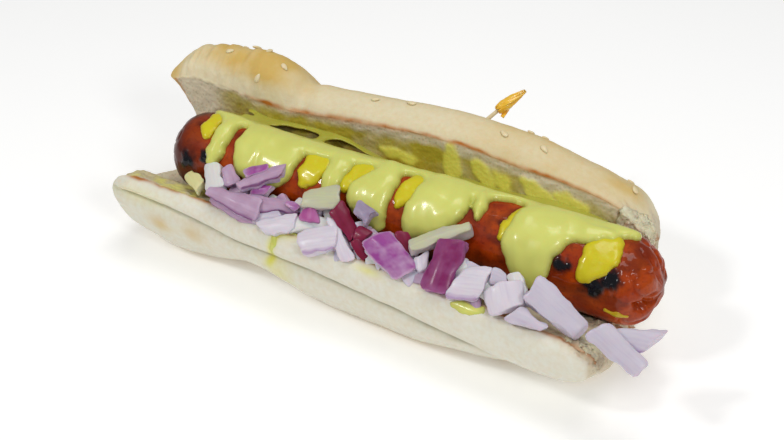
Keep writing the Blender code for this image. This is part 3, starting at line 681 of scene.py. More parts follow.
def sausage_finish(look):
    """Grilled sausage in a tight fat-glossed skin: red-brown, mottled, with blackened blisters, and
    painted shade in the groove under the sauce's openings.
    """
    finish, tree, shader = new_finish(
        "grilled_sausage_skin", Roughness=0.42, IOR=1.45, Subsurface_Weight=0.06,
        Subsurface_Scale=0.0015, Specular_IOR_Level=0.1, Coat_Weight=0.38, Coat_Roughness=0.05,
    )
    where = add(tree, "ShaderNodeTexCoord").outputs["Object"]
    char, brown_and_shade = (add(tree, "ShaderNodeAttribute", attribute_name=name).outputs["Fac"]
                   for name in ("char", "brown_and_shade"))
    # Mottling some 7 mm across, specks of 1 mm, and a pebbled skin with lumps of 2.4 mm.
    mottle, specks, pebble = (
        add(tree, "ShaderNodeTexNoise", {"Vector": where, "Scale": scale, "Detail": detail}).outputs["Fac"]
        for scale, detail in ((150.0, 4.0), (900.0, 3.0), (420.0, 4.0)))
    # Char is a crisp glaze, glossier than the skin.
    warm, speckled, crisp = (
        add(tree, "ShaderNodeMapRange", {
            "Value": value, "From Min": low, "From Max": high, "To Min": first, "To Max": last,
        }).outputs["Result"]
        for value, low, high, first, last in (
            (mottle, 0.35, 0.68, 0.0, 1.0),
            (specks, 0.52, 0.75, 0.0, 0.5),
            (char, 0.0, 1.0, 0.42, 0.18),
        ))
    colour = linear(look.sausage)
    # The dark tone also paints the shade in the groove under the openings.
    for share, over in ((warm, look.sausage_light), (brown_and_shade, look.sausage_dark_and_shade),
                        (speckled, look.sausage_dark_and_shade), (char, look.char)):
        colour = add(tree, "ShaderNodeMix", {0: share, 6: colour, 7: linear(over)},
                     data_type="RGBA").outputs[2]
    tree.links.new(crisp, shader.inputs["Roughness"])
    dress(tree, shader, colour, pebble, 0.35, 0.6)
    return finish


def sauce_finish(name, thick, thin_and_shade):
    """Squeezed sauce: opaque, wet and soft-edged, darker where it is thin or soaking in, and darker with
    painted shade where the poured sheet runs back to the bun's wall.
    """
    finish, tree, shader = new_finish(
        name, Roughness=0.3, IOR=1.42, Subsurface_Weight=0.15, Subsurface_Scale=0.002,
        Specular_IOR_Level=0.35, Coat_Weight=0.25, Coat_Roughness=0.1,
    )
    where = add(tree, "ShaderNodeTexCoord").outputs["Object"]
    thin_and_shade_share = add(tree, "ShaderNodeAttribute", attribute_name="thin_and_shade").outputs["Fac"]
    # Streaks some 8 mm wide in the colour, and ripples of 3 mm in the surface.
    streak, ripple = (
        add(tree, "ShaderNodeTexNoise", {"Vector": where, "Scale": scale, "Detail": 2.0}).outputs["Fac"]
        for scale in (130.0, 350.0))
    share = add(tree, "ShaderNodeMapRange", {
        "Value": streak, "From Min": 0.35, "From Max": 0.75, "To Min": 0.0, "To Max": 0.2})
    both = add(tree, "ShaderNodeMath", {0: thin_and_shade_share, 1: share.outputs["Result"]}, operation="ADD",
               use_clamp=True)
    colour = add(tree, "ShaderNodeMix", {0: both.outputs[0], 6: linear(thick), 7: linear(thin_and_shade)},
                 data_type="RGBA")
    dress(tree, shader, colour.outputs[2], ripple, 0.12, 0.4)
    return finish


def onion_finish(kind):
    """Fresh red onion: crisp wet flesh with fine veins, coloured in the outer skin of each layer."""
    face, edge, vein = (linear(code) for code in ONION_COLOURS[kind])
    finish, tree, shader = new_finish(
        "red_onion_" + kind, Roughness=0.42, IOR=1.38, Subsurface_Weight=0.2,
        Subsurface_Scale=0.003, Specular_IOR_Level=0.35, Coat_Weight=0.12, Coat_Roughness=0.15,
    )
    skin, line = (add(tree, "ShaderNodeAttribute", attribute_name=name).outputs["Fac"]
                  for name in ("skin", "line"))
    grain = add(tree, "ShaderNodeAttribute", attribute_name="grain").outputs["Vector"]
    # Veins run along the piece about 0.6 mm apart; clouds of colour are some 4 mm wide.
    stretch = add(tree, "ShaderNodeMapping", {"Vector": grain, "Scale": (0.12, 1.6, 0.5)}).outputs[0]
    veins, cloud = (
        add(tree, "ShaderNodeTexNoise", {"Vector": at, "Scale": scale, "Detail": 2.0}).outputs["Fac"]
        for at, scale in ((stretch, 1.0), (grain, 0.25)))
    veined, clouded = (
        add(tree, "ShaderNodeMapRange", {
            "Value": value, "From Min": low, "From Max": high, "To Min": 0.0, "To Max": most,
        }).outputs["Result"]
        for value, low, high, most in ((veins, 0.45, 0.8, 0.28), (cloud, 0.4, 0.7, 0.4)))
    colour = edge
    for share, over in ((skin, face), (veined, vein), (clouded, edge), (line, vein)):
        colour = add(tree, "ShaderNodeMix", {0: share, 6: colour, 7: over}, data_type="RGBA").outputs[2]
    dress(tree, shader, colour, veins, 0.15, 0.3)
    return finish


def plain_finish(name, colour, shade, size, **values):
    """A finish of two close tones in soft patches of the given size in millimetres."""
    finish, tree, shader = new_finish(name, **values)
    where = add(tree, "ShaderNodeTexCoord").outputs["Object"]
    patch = add(tree, "ShaderNodeTexNoise", {
        "Vector": where, "Scale": 1.0 / (size * MM), "Detail": 3.0}).outputs["Fac"]
    tone = add(tree, "ShaderNodeMix", {0: patch, 6: linear(colour), 7: linear(shade)}, data_type="RGBA")
    dress(tree, shader, tone.outputs[2], patch, 0.15, 0.3)
    return finish


# ---------------------------------------------------------------- settings


class HotDogSizes(bpy.types.PropertyGroup):
    """Sizes that a user may change."""

    sauce_thickness: bpy.props.FloatProperty(
        name="Sauce thickness", description="Thickness of the poured sauce on the sausage",
        default=2.6 * MM, unit="LENGTH")
    mustard_thickness: bpy.props.FloatProperty(
        name="Mustard thickness", description="Thickness of the yellow mustard patches",
        default=1.15 * MM, unit="LENGTH")
    seed_length: bpy.props.FloatProperty(
        name="Seed length", description="Length of a sesame seed", default=3.0 * MM, unit="LENGTH")
    seed_count: bpy.props.IntProperty(
        name="Seed count", description="Loose sesame seeds over the back of the bun", default=26)
    crumb_relief: bpy.props.FloatProperty(
        name="Crumb relief", description="Height of the open crumb's lumps",
        default=0.35 * MM, unit="LENGTH")


class HotDogColours(bpy.types.PropertyGroup):
    """Colours as sRGB hex codes."""

    crust_cream: bpy.props.StringProperty(
        name="Crust", description="Soft crust of the back half", default="DFD5B6")
    crust_pale: bpy.props.StringProperty(
        name="Pale crust", description="Crust of the front half", default="DEDCCE")
    crust_gold: bpy.props.StringProperty(
        name="Golden crust", description="Where the bun is baked most", default="CDAC60")
    # The toasted rims, and the painted shade on the wall under the openings.
    toast_and_shade: bpy.props.StringProperty(
        name="Toasted rim", description="Browned line on the cut rims", default="AC6620")
    crumb: bpy.props.StringProperty(
        name="Crumb", description="Open crumb of the cut faces", default="CCBFA4")
    # Painted shade in the crumb's pores.
    crumb_shade: bpy.props.StringProperty(
        name="Crumb pores", description="Pores in the crumb", default="8F7F60")
    crumb_tuft: bpy.props.StringProperty(
        name="Torn crumb", description="Tufts of crumb at the torn ends", default="E8E0C6")
    stain: bpy.props.StringProperty(
        name="Soaked crumb", description="Crumb stained by the sauce", default="A5952C")
    drip_stain: bpy.props.StringProperty(
        name="Drip stain", description="Yellow runs on the crust", default="DAD45C")
    crease: bpy.props.StringProperty(
        name="Crease", description="Shadowed crease along the front", default="9A946C")
    sausage: bpy.props.StringProperty(
        name="Sausage", description="Grilled skin", default="922C02")
    sausage_light: bpy.props.StringProperty(
        name="Sausage, light", description="Skin where it is least browned", default="AC4404")
    # Also the painted shade in the groove under the openings.
    sausage_dark_and_shade: bpy.props.StringProperty(
        name="Sausage, dark", description="Skin where it is most browned", default="4C1406")
    char: bpy.props.StringProperty(
        name="Char", description="Blackened blisters", default="101116")
    sauce: bpy.props.StringProperty(
        name="Sauce", description="Pale mustard sauce", default="D2D470")
    # Also the painted shade on the sheet by the bun's wall.
    sauce_thin_and_shade: bpy.props.StringProperty(
        name="Thin sauce", description="The sauce where it is thin", default="A8A43A")
    mustard: bpy.props.StringProperty(
        name="Mustard", description="Yellow mustard", default="CEC21C")
    mustard_thin: bpy.props.StringProperty(
        name="Thin mustard", description="Mustard where it is thin", default="B89C18")
    seed: bpy.props.StringProperty(
        name="Sesame", description="Hulled sesame seed", default="E6DAB6")
    wood: bpy.props.StringProperty(
        name="Pick wood", description="Bare wood of the pick", default="E2D3AE")
    film: bpy.props.StringProperty(
        name="Frill", description="Cellophane of the frill", default="F0A81E")


# ---------------------------------------------------------------- operators


class HOTDOG_OT_bun(bpy.types.Operator):
    """Builds the bun with its wrinkled crust, toasted rims and open crumb"""

    bl_idname = "hotdog.bun"
    bl_label = "Bun"

    def execute(self, context):
        relief = context.scene.hot_dog_sizes.crumb_relief / MM
        stations, ring = BUN.rings.shape[:2]
        work = bmesh.new()
        bmesh.ops.create_grid(work, x_segments=stations - 1, y_segments=ring, size=0.5)
        grid = vert_places(work)
        row = np.rint((grid[:, 0] + 0.5) * (stations - 1)).astype(int)
        step = np.rint((grid[:, 1] + 0.5) * ring).astype(int)
        points = BUN.rings[row, step % ring]
        x, (y, z) = BUN.x[row], points[:, 1:].T
        walked, total = BUN.walked[row, step], BUN.walked[row, -1]
        from_back = np.abs(walked - BUN.walked[row, BUN.side - 1])
        from_front = np.minimum(walked, total - walked)
        inner = step >= BUN.side - 1
        to_rim = np.where(inner, 1.0, -1.0) * np.minimum(from_back, from_front)
        front = ease(-y, 6.0, 12.0)
        outer_front, inner_back = front * (1 - inner), (1 - front) * inner
        wobble = rough(points, 5.0, 2, 3.0)
        torn = ease(x + 2.0 * wobble, 57.0, 65.0) * ease(to_rim + wobble, -4.5, -0.5)
        left_end = ease(-x, 86.0, 92.0) * ease(z, 14.0, 24.0) * (1 - front)
        crumb = np.maximum(ease(to_rim + 0.5 * wobble, -0.2, 0.8), torn)
        crumb = np.maximum(crumb, ease(x + 1.5 * wobble, 67.5, 69.5))
        crumb = crumb * (1 - ease(-x + 0.5 * wobble, 89.6, 91.2) * (1 - front))
        # How golden the bake is: the lobe at the left, the far right, the back and the underside.
        top = ease(z, 34.0, 42.0) * (1 - front)
        lobe = ease(-x, 34.0, 54.0) * ease(from_back, 1.5, 9.5) * (1 - 0.6 * ease(-x, 74.0, 84.0))
        tail = 0.8 * ease(x, 40.0, 62.0) * ease(from_back, 2.0, 8.0)
        middle = 0.1 + 0.3 * ease(from_back, 6.0, 16.0) + 0.28 * ease(x, 0.0, 28.0)
        behind = ease(y, 30.0, 39.0) * (0.75 - 0.35 * ease(z, 5.0, 24.0) + 0.3 * ease(z, 34.0, 46.0))
        below = 0.85 * ease(-z, -4.0, 0.5)
        spots = 0.65 * hump(x, -73.5, 4.0) * hump(walked, 17.0, 3.0)
        spots += 0.6 * hump(x, -60.0, 4.0) * hump(walked, 16.0, 3.0)
        gold = np.maximum.reduce([
            lobe * top, tail * top, middle * top, behind, below, spots * front, 0.9 * left_end])
        # The browned line on each cut rim, brown specks in the torn end, and painted shade on the wall
        # under the openings.
        on_back = ease(-x, -66.0, -56.0) * ease(x, -70.0, -56.0) * (0.75 + 0.5 * wobble)
        on_front = ease(x, -93.0, -84.0) * (0.75 + 0.8 * rough(points, 6.0, 2, 9.0))
        back_width = mix(0.6, 1.0, hump(x, -32.0, 24.0))
        toast_and_shade = np.where(
            from_back < from_front, hump(to_rim + 0.35 * wobble, -0.1, back_width) * on_back, 0.0)
        toast_and_shade += np.where(
            from_front < from_back, hump(to_rim + 0.3 * wobble, 0.1, 0.75) * on_front, 0.0)
        toast_and_shade += 0.8 * torn * (1 - 0.7 * front) * ease(rough(points, 2.6, 2, 5.0), 0.1, 0.4)
        toast_and_shade += 0.8 * inner_back * hump(x + 0.5 * wobble, -90.2, 0.8)
        # Painted shade low on the wall, under the sauce's openings.
        toast_and_shade += 0.7 * inner_back * hump(x, -30.0, 22.0) * ease(from_back, 8.5, 10.5)
        # Sauce soaked into the wall and the left of the front cut face.
        dry = mix(0.3, 2.0, ease(x, -40.0, -12.0))
        soaked = ease(from_back + 1.2 * wobble - dry, -0.3, 2.2) * mix(1.0, 0.55, ease(x, 18.0, 40.0))
        soaked *= ease(x, -78.0, -64.0) * (1 - ease(x, 56.0, 68.0))
        left_shelf = inner * front * (1 - ease(x, -58.0, -44.0))
        shelf = 0.35 * left_shelf * ease(from_front + wobble, 0.8, 3.0)
        stain = np.maximum(inner_back * ease(z, 28.0, 34.0) * soaked, shelf)
        # Yellow runs down the front, and smears on the wall.
        run = hump(x, -28.0 - 0.28 * np.maximum(walked - 2.0, 0.0), 1.3 + 0.5 * wobble)
        run *= ease(-walked, -19.0, -13.0)
        for amount, run_x, wide, down, tall in (
            (0.45, -29.0, 5.0, 19.0, 6.0), (0.7, -26.0, 4.5, 0.8, 1.6),
            (0.6, 3.0, 4.0, 2.6, 1.2), (0.35, -80.0, 12.0, 7.0, 4.0),
        ):
            run += amount * hump(x, run_x, wide) * hump(walked, down, tall)
        drip = np.clip(run * outer_front + 0.6 * left_shelf * ease(wobble, -0.3, 0.3), 0.0, 1.0)
        smear = inner_back * ease(stroke_depth(WALL_SMEARS, x, -from_back) + wobble, -0.5, 1.0)
        drip = np.maximum(drip, 0.85 * smear)
        crease_z = along(BUN_PROFILE, x)[:, 5]
        # Painted shade along the crease on the front.
        crease = 0.75 * outer_front * hump(z, crease_z, 0.55) * ease(x, -95.0, -84.0)
        for name, values in (
            ("crumb", crumb), ("gold", gold), ("pale", front), ("toast_and_shade", np.clip(toast_and_shade, 0.0, 1.0)),
            ("stain", stain), ("drip", drip), ("crease", crease),
        ):
            set_layer(work, name, values)
        # Heights: soft unevenness, the crease, wrinkles round the lobe, open crumb and the torn end.
        wrinkled = ease(-x, 52.0, 64.0) * ease(z, 40.0, 48.0) * (1 - inner) * (1 - left_end)
        open_crumb = rough(points, 2.4, 3, 1.0) - 1.5 * np.maximum(rough(points, 1.5, 1, 6.0) - 0.3, 0.0)
        height = 0.4 * rough(points, 15.0) + 0.14 * rough(points, 5.5, 2, 7.0)
        height += 0.05 * rough(points, 1.4, 2, 2.0) * (1 - crumb)
        height += 0.8 * wrinkled * rough(points, (2.6, 16.0, 12.0), 2, 4.0)
        height -= 1.3 * outer_front * hump(z, crease_z, 0.8)
        height -= 1.3 * hump(x, -44.0, 3.0) * ease(z, 42.0, 48.0) * (1 - inner)
        height += relief * crumb * open_crumb * (1 - 0.7 * smear) + 0.6 * smear
        height += 1.5 * torn * rough(points, 2.6, 3, 8.0)
        height *= ease(x, BUN_LEFT, BUN_LEFT + 1.0) * ease(z, 0.1, 3.0)
        wrap(work, points, height)
        shown("bun_soft", work, bun_finish(context.scene.hot_dog_colours), ["bun"])
        return {"FINISHED"}


class HOTDOG_OT_seeds(bpy.types.Operator):
    """Scatters sesame seeds over the back of the bun"""

    bl_idname = "hotdog.seeds"
    bl_label = "Sesame seeds"

    def execute(self, context):
        length = context.scene.hot_dog_sizes.seed_length / MM
        draw = random.Random(7)
        places = [(-72.5, 12), (-52.5, 13), (-59.5, 7), (-20.5, 9), (22.5, 8), (35, 8), (-66, 19),
                  (-60, 17.5), (28.5, 14.5), (32.5, 16.5), (62, 9.5), (-9, 10.5)]
        while len(places) < context.scene.hot_dog_sizes.seed_count:
            place = (draw.uniform(-82.0, 62.0), draw.uniform(19.0, 44.0))
            if all(math.dist(place, other) > 6.0 for other in places):
                places.append(place)
        x, out = np.array(places).T
        work = bmesh.new()
        for spot, normal in zip(over_back_rim(x, out), facing(over_back_rim, x, out)):
            seed = bmesh.ops.create_uvsphere(work, u_segments=12, v_segments=8, radius=1.0)["verts"]
            size = length * draw.uniform(0.85, 1.1) / 2
            for vert in seed:
                blunt = 1.0 + 0.35 * vert.co.x
                vert.co = size * Vector((vert.co.x, vert.co.y * 0.55 * blunt, vert.co.z * 0.3))
            turn = Vector(normal).to_track_quat("Z", "Y").to_matrix().to_4x4()
            spin = Matrix.Rotation(draw.uniform(0.0, math.tau), 4, "Z")
            place = Matrix.Translation(Vector(spot) + 0.25 * Vector(normal)) @ turn @ spin
            bmesh.ops.transform(work, matrix=place, verts=seed)
        look = context.scene.hot_dog_colours
        finish = plain_finish("hulled_sesame", look.seed, "D9C493", 1.5, Roughness=0.45,
                              Subsurface_Weight=0.1, Subsurface_Scale=0.001)
        shown("sesame_seeds", work, finish)
        return {"FINISHED"}


class HOTDOG_OT_crumbs(bpy.types.Operator):
    """Roughens the torn ends with tufts and flakes of crumb"""

    bl_idname = "hotdog.crumbs"
    bl_label = "Torn crumb"

    def execute(self, context):
        draw = random.Random(5)
        work = bmesh.new()
        for low_x, high_x, low_out, high_out, surface, count, size in (
            (62.0, 69.8, -9.0, 0.5, over_back_rim, 90, 2.0),
            (66.5, 70.4, -10.0, 5.0, over_back_rim, 40, 1.8),
            (62.0, 69.5, -8.0, -1.0, over_front_rim, 45, 1.7),
        ):
            x = np.array([draw.uniform(low_x, high_x) for _ in range(count)])
            out = np.array([draw.uniform(low_out, high_out) for _ in range(count)])
            for spot, normal in zip(surface(x, out), facing(surface, x, out)):
                tuft = bmesh.ops.create_icosphere(work, subdivisions=2, radius=1.0)["verts"]
                reach = size * draw.uniform(0.45, 1.0)
                lift = Vector([draw.uniform(0, 50) for _ in range(3)])
                for vert in tuft:
                    swell = 1.0 + 0.9 * noise.noise(vert.co * 2.1 + lift)
                    vert.co = vert.co * swell * reach
                    vert.co.z *= 0.38
                turn = Vector(normal).to_track_quat("Z", "Y").to_matrix().to_4x4()
                spin = Matrix.Rotation(draw.uniform(0.0, math.tau), 4, "Z")
                bmesh.ops.transform(
                    work, matrix=Matrix.Translation(Vector(spot)) @ turn @ spin, verts=tuft)
        look = context.scene.hot_dog_colours
        finish = plain_finish("torn_crumb", look.crumb_tuft, "CDBB90", 2.0, Roughness=0.75,
                              Subsurface_Weight=0.15, Subsurface_Scale=0.002)
        shown("torn_crumb_tufts", work, finish)
        return {"FINISHED"}


class HOTDOG_OT_sausage(bpy.types.Operator):
    """Builds the grilled sausage with its puckered ends and blistered skin"""

    bl_idname = "hotdog.sausage"
    bl_label = "Sausage"

    def execute(self, context):
        columns, rows = 300, 132
        work = bmesh.new()
        bmesh.ops.create_grid(work, x_segments=columns, y_segments=rows, size=0.5)
        grid = vert_places(work)
        t = 0.5 - 0.5 * np.cos(np.pi * (grid[:, 0] + 0.5))
        x = mix(SAUSAGE_LEFT, SAUSAGE_RIGHT, mix(grid[:, 0] + 0.5, t, 0.8))
        degrees = 360.0 * (np.rint((grid[:, 1] + 0.5) * rows) % rows) / rows
        angle = np.radians(degrees)
        reach = sausage_radius(x)
        points = np.stack([x, reach * np.cos(angle), axis_height(x) + reach * np.sin(angle)], axis=1)
        # The skin near the cut ends gathers into creases that run in to the middle of the cap.
        right, left = ease(x, 66.0, 76.0), ease(-x, 68.0, 76.0)
        swirl = np.stack([x * 0.8, 8.0 * np.cos(angle), 8.0 * np.sin(angle)], axis=1)
        gather = 1.0 - np.abs(rough(swirl, 4.2, 2, 2.0)) * 3.0
        height = 0.25 * rough(points, 18.0, 1, 1.0) + 0.07 * rough(points, 3.0, 2, 3.0)
        polar = ease(reach, 1.5, 7.0)
        height -= 0.8 * (right + 0.4 * left) * polar * np.maximum(gather, 0.0) ** 2
        height += 0.55 * right * rough(points, 4.5, 2, 11.0)
        blister = hump(x, 68.0, 5.0) * hump(degrees, 148.0, 30.0)
        height += 0.4 * blister * rough(points, 1.3, 2, 5.0)
        notch = hump(x, 76.0, 2.4) * hump(degrees, 183.0, 12.0)
        height -= 2.5 * notch * (1.0 + 0.5 * rough(points, 1.5, 2, 1.0))
        # Charred spots along the front: x, degrees round the sausage, size.
        char, ragged = np.zeros(len(points)), 1.5 * rough(points, 2.6, 3, 4.0)
        for spot_x, spot_degrees, size in (
            (66.4, 149, 3.4), (62.6, 163, 3.6), (53.2, 150, 2.7), (-67.5, 162, 3.0), (-61.0, 150, 2.0),
        ):
            away = ragged + np.hypot(x - spot_x, (degrees - spot_degrees) * MM_PER_DEGREE)
            char = np.maximum(char, 1.0 - ease(away, 0.55 * size, 1.25 * size))
        height += char * (0.35 + 0.45 * rough(points, 1.6, 2, 13.0))
        # Darker skin: browned at the left end and in loose patches, painted shade in the groove under the
        # openings, and darker on the underside left of x = 40.
        brown_and_shade = 0.75 * left + 0.5 * ease(rough(points, 9.0, 3, 6.0), 0.05, 0.5)
        brown_and_shade += 0.4 * ease(-x, 56.0, 68.0) + 0.7 * hump(x, -68.0, 5.0) * hump(degrees, 165.0, 26.0)
        # Painted shade in the groove under the sauce's openings.
        groove = ease(-x, -10.0, 5.0) * ease(x, -66.0, -56.0)
        brown_and_shade += 0.9 * (1 - ease(np.abs(degrees - 50.0), 26.0, 36.0)) * groove
        under = ease(degrees, 160.0, 200.0) * (1 - ease(degrees, 300.0, 350.0))
        brown_and_shade += 0.4 * under * (1 - ease(x, 40.0, 56.0))
        brown_and_shade += 0.6 * hump(x, 34.0, 4.5) * ease(rough(points, 4.0, 2, 8.0), -0.1, 0.3)
        set_layer(work, "char", char)
        set_layer(work, "brown_and_shade", np.clip(brown_and_shade, 0.0, 0.95))
        wrap(work, points, height)
        shown("sausage_skin", work, sausage_finish(context.scene.hot_dog_colours),
              ["sausage"])
        return {"FINISHED"}


def sausage_strokes(strokes):
    """Strokes given in degrees round the sausage, in millimetres round from its top."""
    return [[(x, (degrees - 90.0) * MM_PER_DEGREE, half) for x, degrees, half in steps]
            for steps in strokes]


class HOTDOG_OT_sauce(bpy.types.Operator):
    """Pours the pale sauce over the sausage, up to the bun's wall and on to the rims"""

    bl_idname = "hotdog.sauce"
    bl_label = "Sauce"

    def execute(self, context):
        look = context.scene.hot_dog_colours
        thickness = context.scene.hot_dog_sizes.sauce_thickness / MM
        finish = sauce_finish("pale_mustard_sauce", look.sauce, look.sauce_thin_and_shade)
        fingers = sausage_strokes(FINGERS)

        def depth_of(a, b):
            front = (along(SAUCE_COVER, a)[:, 0] - 90.0) * MM_PER_DEGREE
            # The sheet between the sausage and the wall ends in an uneven edge.
            ends = np.minimum(a - SHEET_LEFT, SHEET_RIGHT - a)
            ends -= 3.0 * ease(-b, 5.0, 14.0) * (0.6 + rough_flat(a, b, 5.0, 2, 4.0))
            depth = soft_most(np.minimum(front - b, ends), stroke_depth(fingers, a, b), 1.6)
            depth = np.minimum(depth, -stroke_depth(OPENINGS, a, b, 0.6))
            return depth + 0.45 * rough_flat(a, b, 3.4, 2, 2.0)

        def thick_of(a, b):
            domes = np.zeros(len(a))
            for steps in fingers:
                domes = soft_most(domes, ease(stroke_depth([steps], a, b), -1.0, 4.5), 0.3)
            swell = 1.0 + 0.16 * rough_flat(a, b, 8.0, 2, 5.0)
            thinner = 1.0 - 0.78 * ease(-b, mix(3.0, -3.5, hump(a, -30.0, 24.0)), 8.0)
            return thickness * swell * thinner * (0.7 + 0.45 * domes * ease(b, -8.0, 4.0))

        box = ((SHEET_LEFT - 7.0, SHEET_RIGHT + 11.0), (BRIDGE_TOP - BRIDGE_LENGTH, 26.0))
        work = poured(
            over_sausage_and_wall, box, 0.45, depth_of, thick_of,
            # The sheet that runs back to the bun's wall gets painted shade; the edges are darker where the
            # sauce is thin.
            lambda b, depth: 0.8 * ease(-b, 3.5, 9.5) + 0.35 * (1 - ease(depth, 0.0, 1.2)),
            rounding=1.9, sink=0.7)
        shown("sauce_poured", work, finish, ["sauce"])

        joined = bmesh.new()
        for steps in LIP_DRIPS:
            add_to(joined, daub(
                over_front_rim, steps, 3.0, 0.3, (0.8, 3.0, 1.0), lambda a, b: np.full(len(a), 0.4),
                lambda b, depth: 0.3 * (1 - ease(depth, 0.2, 1.6)), rounding=1.2, sink=0.6))
        shown("sauce_lip_drips", joined, finish)
        return {"FINISHED"}


class HOTDOG_OT_mustard(bpy.types.Operator):
    """Adds the yellow mustard between the fingers of sauce"""

    bl_idname = "hotdog.mustard"
    bl_label = "Mustard"

    def execute(self, context):
        look = context.scene.hot_dog_colours
        thickness = context.scene.hot_dog_sizes.mustard_thickness / MM
        finish = sauce_finish("yellow_mustard", look.mustard, look.mustard_thin)
        for number, steps in enumerate(sausage_strokes(MUSTARD), 1):
            work = daub(
                over_sausage, steps, 5.5, 0.35, (0.45, 2.6, 3.0),
                lambda a, b: thickness * (1.0 + 0.2 * rough_flat(a, b, 4.0, 2, 7.0)),
                lambda b, depth: 0.5 * (1 - ease(depth, 0.0, 1.6)), rounding=2.0, sink=0.6)
            shown(f"mustard_patch_{number}", work, finish, [f"mustard_{number}"])
        work = daub(
            over_sausage, sausage_strokes([MUSTARD_STREAK])[0], 2.5, 0.25, (0.4, 2.0, 8.0),
            lambda a, b: np.full(len(a), 0.4),
            lambda b, depth: 1 - 0.6 * ease(depth, 0.2, 1.0), rounding=0.9, sink=0.5)
        shown("mustard_streaks", work, finish)
        return {"FINISHED"}


def on_heap(x, up, off, turns):
    """A place on the slope of onion, turned about the piece's length, width and normal."""
    foot = Vector((x, HEAP_FOOT_Y + HEAP_FOOT_SPLAY * x, HEAP_FOOT_Z))
    slope = Matrix.Rotation(math.radians(HEAP_SLOPE), 4, "X")
    place = Matrix.Translation(foot) @ slope @ Matrix.Translation((0.0, up, off))
    for axis, turn in zip("ZYX", reversed(turns)):
        place @= Matrix.Rotation(math.radians(turn), 4, axis)
    return place


def chopped_onion(place, length, widths, slants, thickness, seed, cuts, lined):
    """A piece cut from a curved onion layer: a slab with blunt corners, bowed across and along."""
    work = bmesh.new()
    bmesh.ops.create_cube(work, size=2.0)
    bmesh.ops.bevel(work, geom=work.verts[:] + work.edges[:], offset=0.1, segments=2,
                    affect="EDGES", profile=0.5, material=-1)
    bmesh.ops.triangulate(work, faces=[f for f in work.faces if len(f.verts) > 4])
    bmesh.ops.subdivide_edges(
        work, edges=[e for e in work.edges if e.calc_length() > 1.0], cuts=cuts, use_grid_fill=True)
    u, v, w = vert_places(work).T
    # The square outline is drawn in to a superellipse, which blunts its corners.
    blunt = 8.0
    rim = np.maximum(np.abs(u), np.abs(v))
    pull = rim / (np.abs(u) ** blunt + np.abs(v) ** blunt + 1e-9) ** (1 / blunt)
    pull = np.where(rim < 0.05, 1.0, pull)
    t = (u * pull + 1) / 2
    width, slant = mix(widths[0], widths[1], t), mix(slants[0], slants[1], t)
    spots = np.stack([length * t, width * v / 2, thickness * w / 2], axis=1)
    ragged = 0.85 * rough(spots, 4.2, 2, seed)
    across = v * pull
    local = np.stack([
        length * (t - 0.5) + slant * across / 2 + ragged * u * np.abs(u) ** 3,
        (width / 2 + ragged * np.abs(v) ** 3) * across,
        thickness * w / 2 + 0.13 * width * (1 - across**2) - 0.03 * length * (2 * t - 1) ** 2
        + 0.16 * rough(spots, 4.0, 2, seed + 1.0) + 0.03 * rough(spots, (6.0, 1.1, 2.0), 1, seed),
    ], axis=1)
    set_layer(work, "skin", ease(w, 0.35, 0.98) * (1.0 - 0.5 * ease(rim + 0.1 * ragged, 0.9, 1.0)))
    set_layer(work, "line", lined * hump(v, -0.97, 0.09) * ease(w, 0.1, 0.6))
    grain = work.verts.layers.float_vector.new("grain")
    for vert, one, spot in zip(work.verts, local, spots):
        vert[grain] = Vector(spot) + Vector((seed * 5.0, seed * 3.0, 0.0))
        vert.co = place @ Vector(one)
    bmesh.ops.recalc_face_normals(work, faces=work.faces)
    return work


class HOTDOG_OT_onion(bpy.types.Operator):
    """Lays the chopped red onion along the front, with small bits under the large pieces"""

    bl_idname = "hotdog.onion"
    bl_label = "Red onion"

    def execute(self, context):
        finishes = {kind: onion_finish(kind) for kind in ONION_COLOURS}
        for number, (name, x, up, off, turns, length, widths, slants, thickness) in enumerate(ONIONS):
            work = chopped_onion(
                on_heap(x, up, off, turns), LONGER * length, [WIDER * width for width in widths],
                slants, THICKER * thickness, 3.0 * number, cuts=11, lined=0.9 * (name in SKIN_LINED))
            kind = "frost" if name in FROSTED else name.split("_")[1]
            shown(name.replace("onion", "chopped"), work, finishes[kind], [name])
        draw = random.Random(11)
        for kind, count in (("pale", 22), ("frost", 20), ("lilac", 8)):
            joined = bmesh.new()
            for fill, x, up, off, spin, length, width in ONION_FILL:
                if fill == kind:
                    add_to(joined, chopped_onion(
                        on_heap(x, up, off, (-5, 5, spin)), length, (width, width), (1.5, -1.0), 2.6,
                        x, cuts=7, lined=0.0))
            for _ in range(count):
                x, up, off, *turns, length, width = (draw.uniform(low, high) for low, high in (
                    (-52.0, 46.0), (-1.5, 6.5), (-3.4, -1.9), (-15.0, 15.0), (-10.0, 10.0),
                    (-80.0, 80.0), (5.0, 8.0), (3.0, 4.6)))
                add_to(joined, chopped_onion(
                    on_heap(x, up, off, turns), length, (width, 0.8 * width), (1.0, -0.5), 2.0,
                    draw.uniform(100.0, 200.0), cuts=5, lined=0.0))
            shown(f"onion_bits_{kind}", joined, finishes[kind])
        return {"FINISHED"}


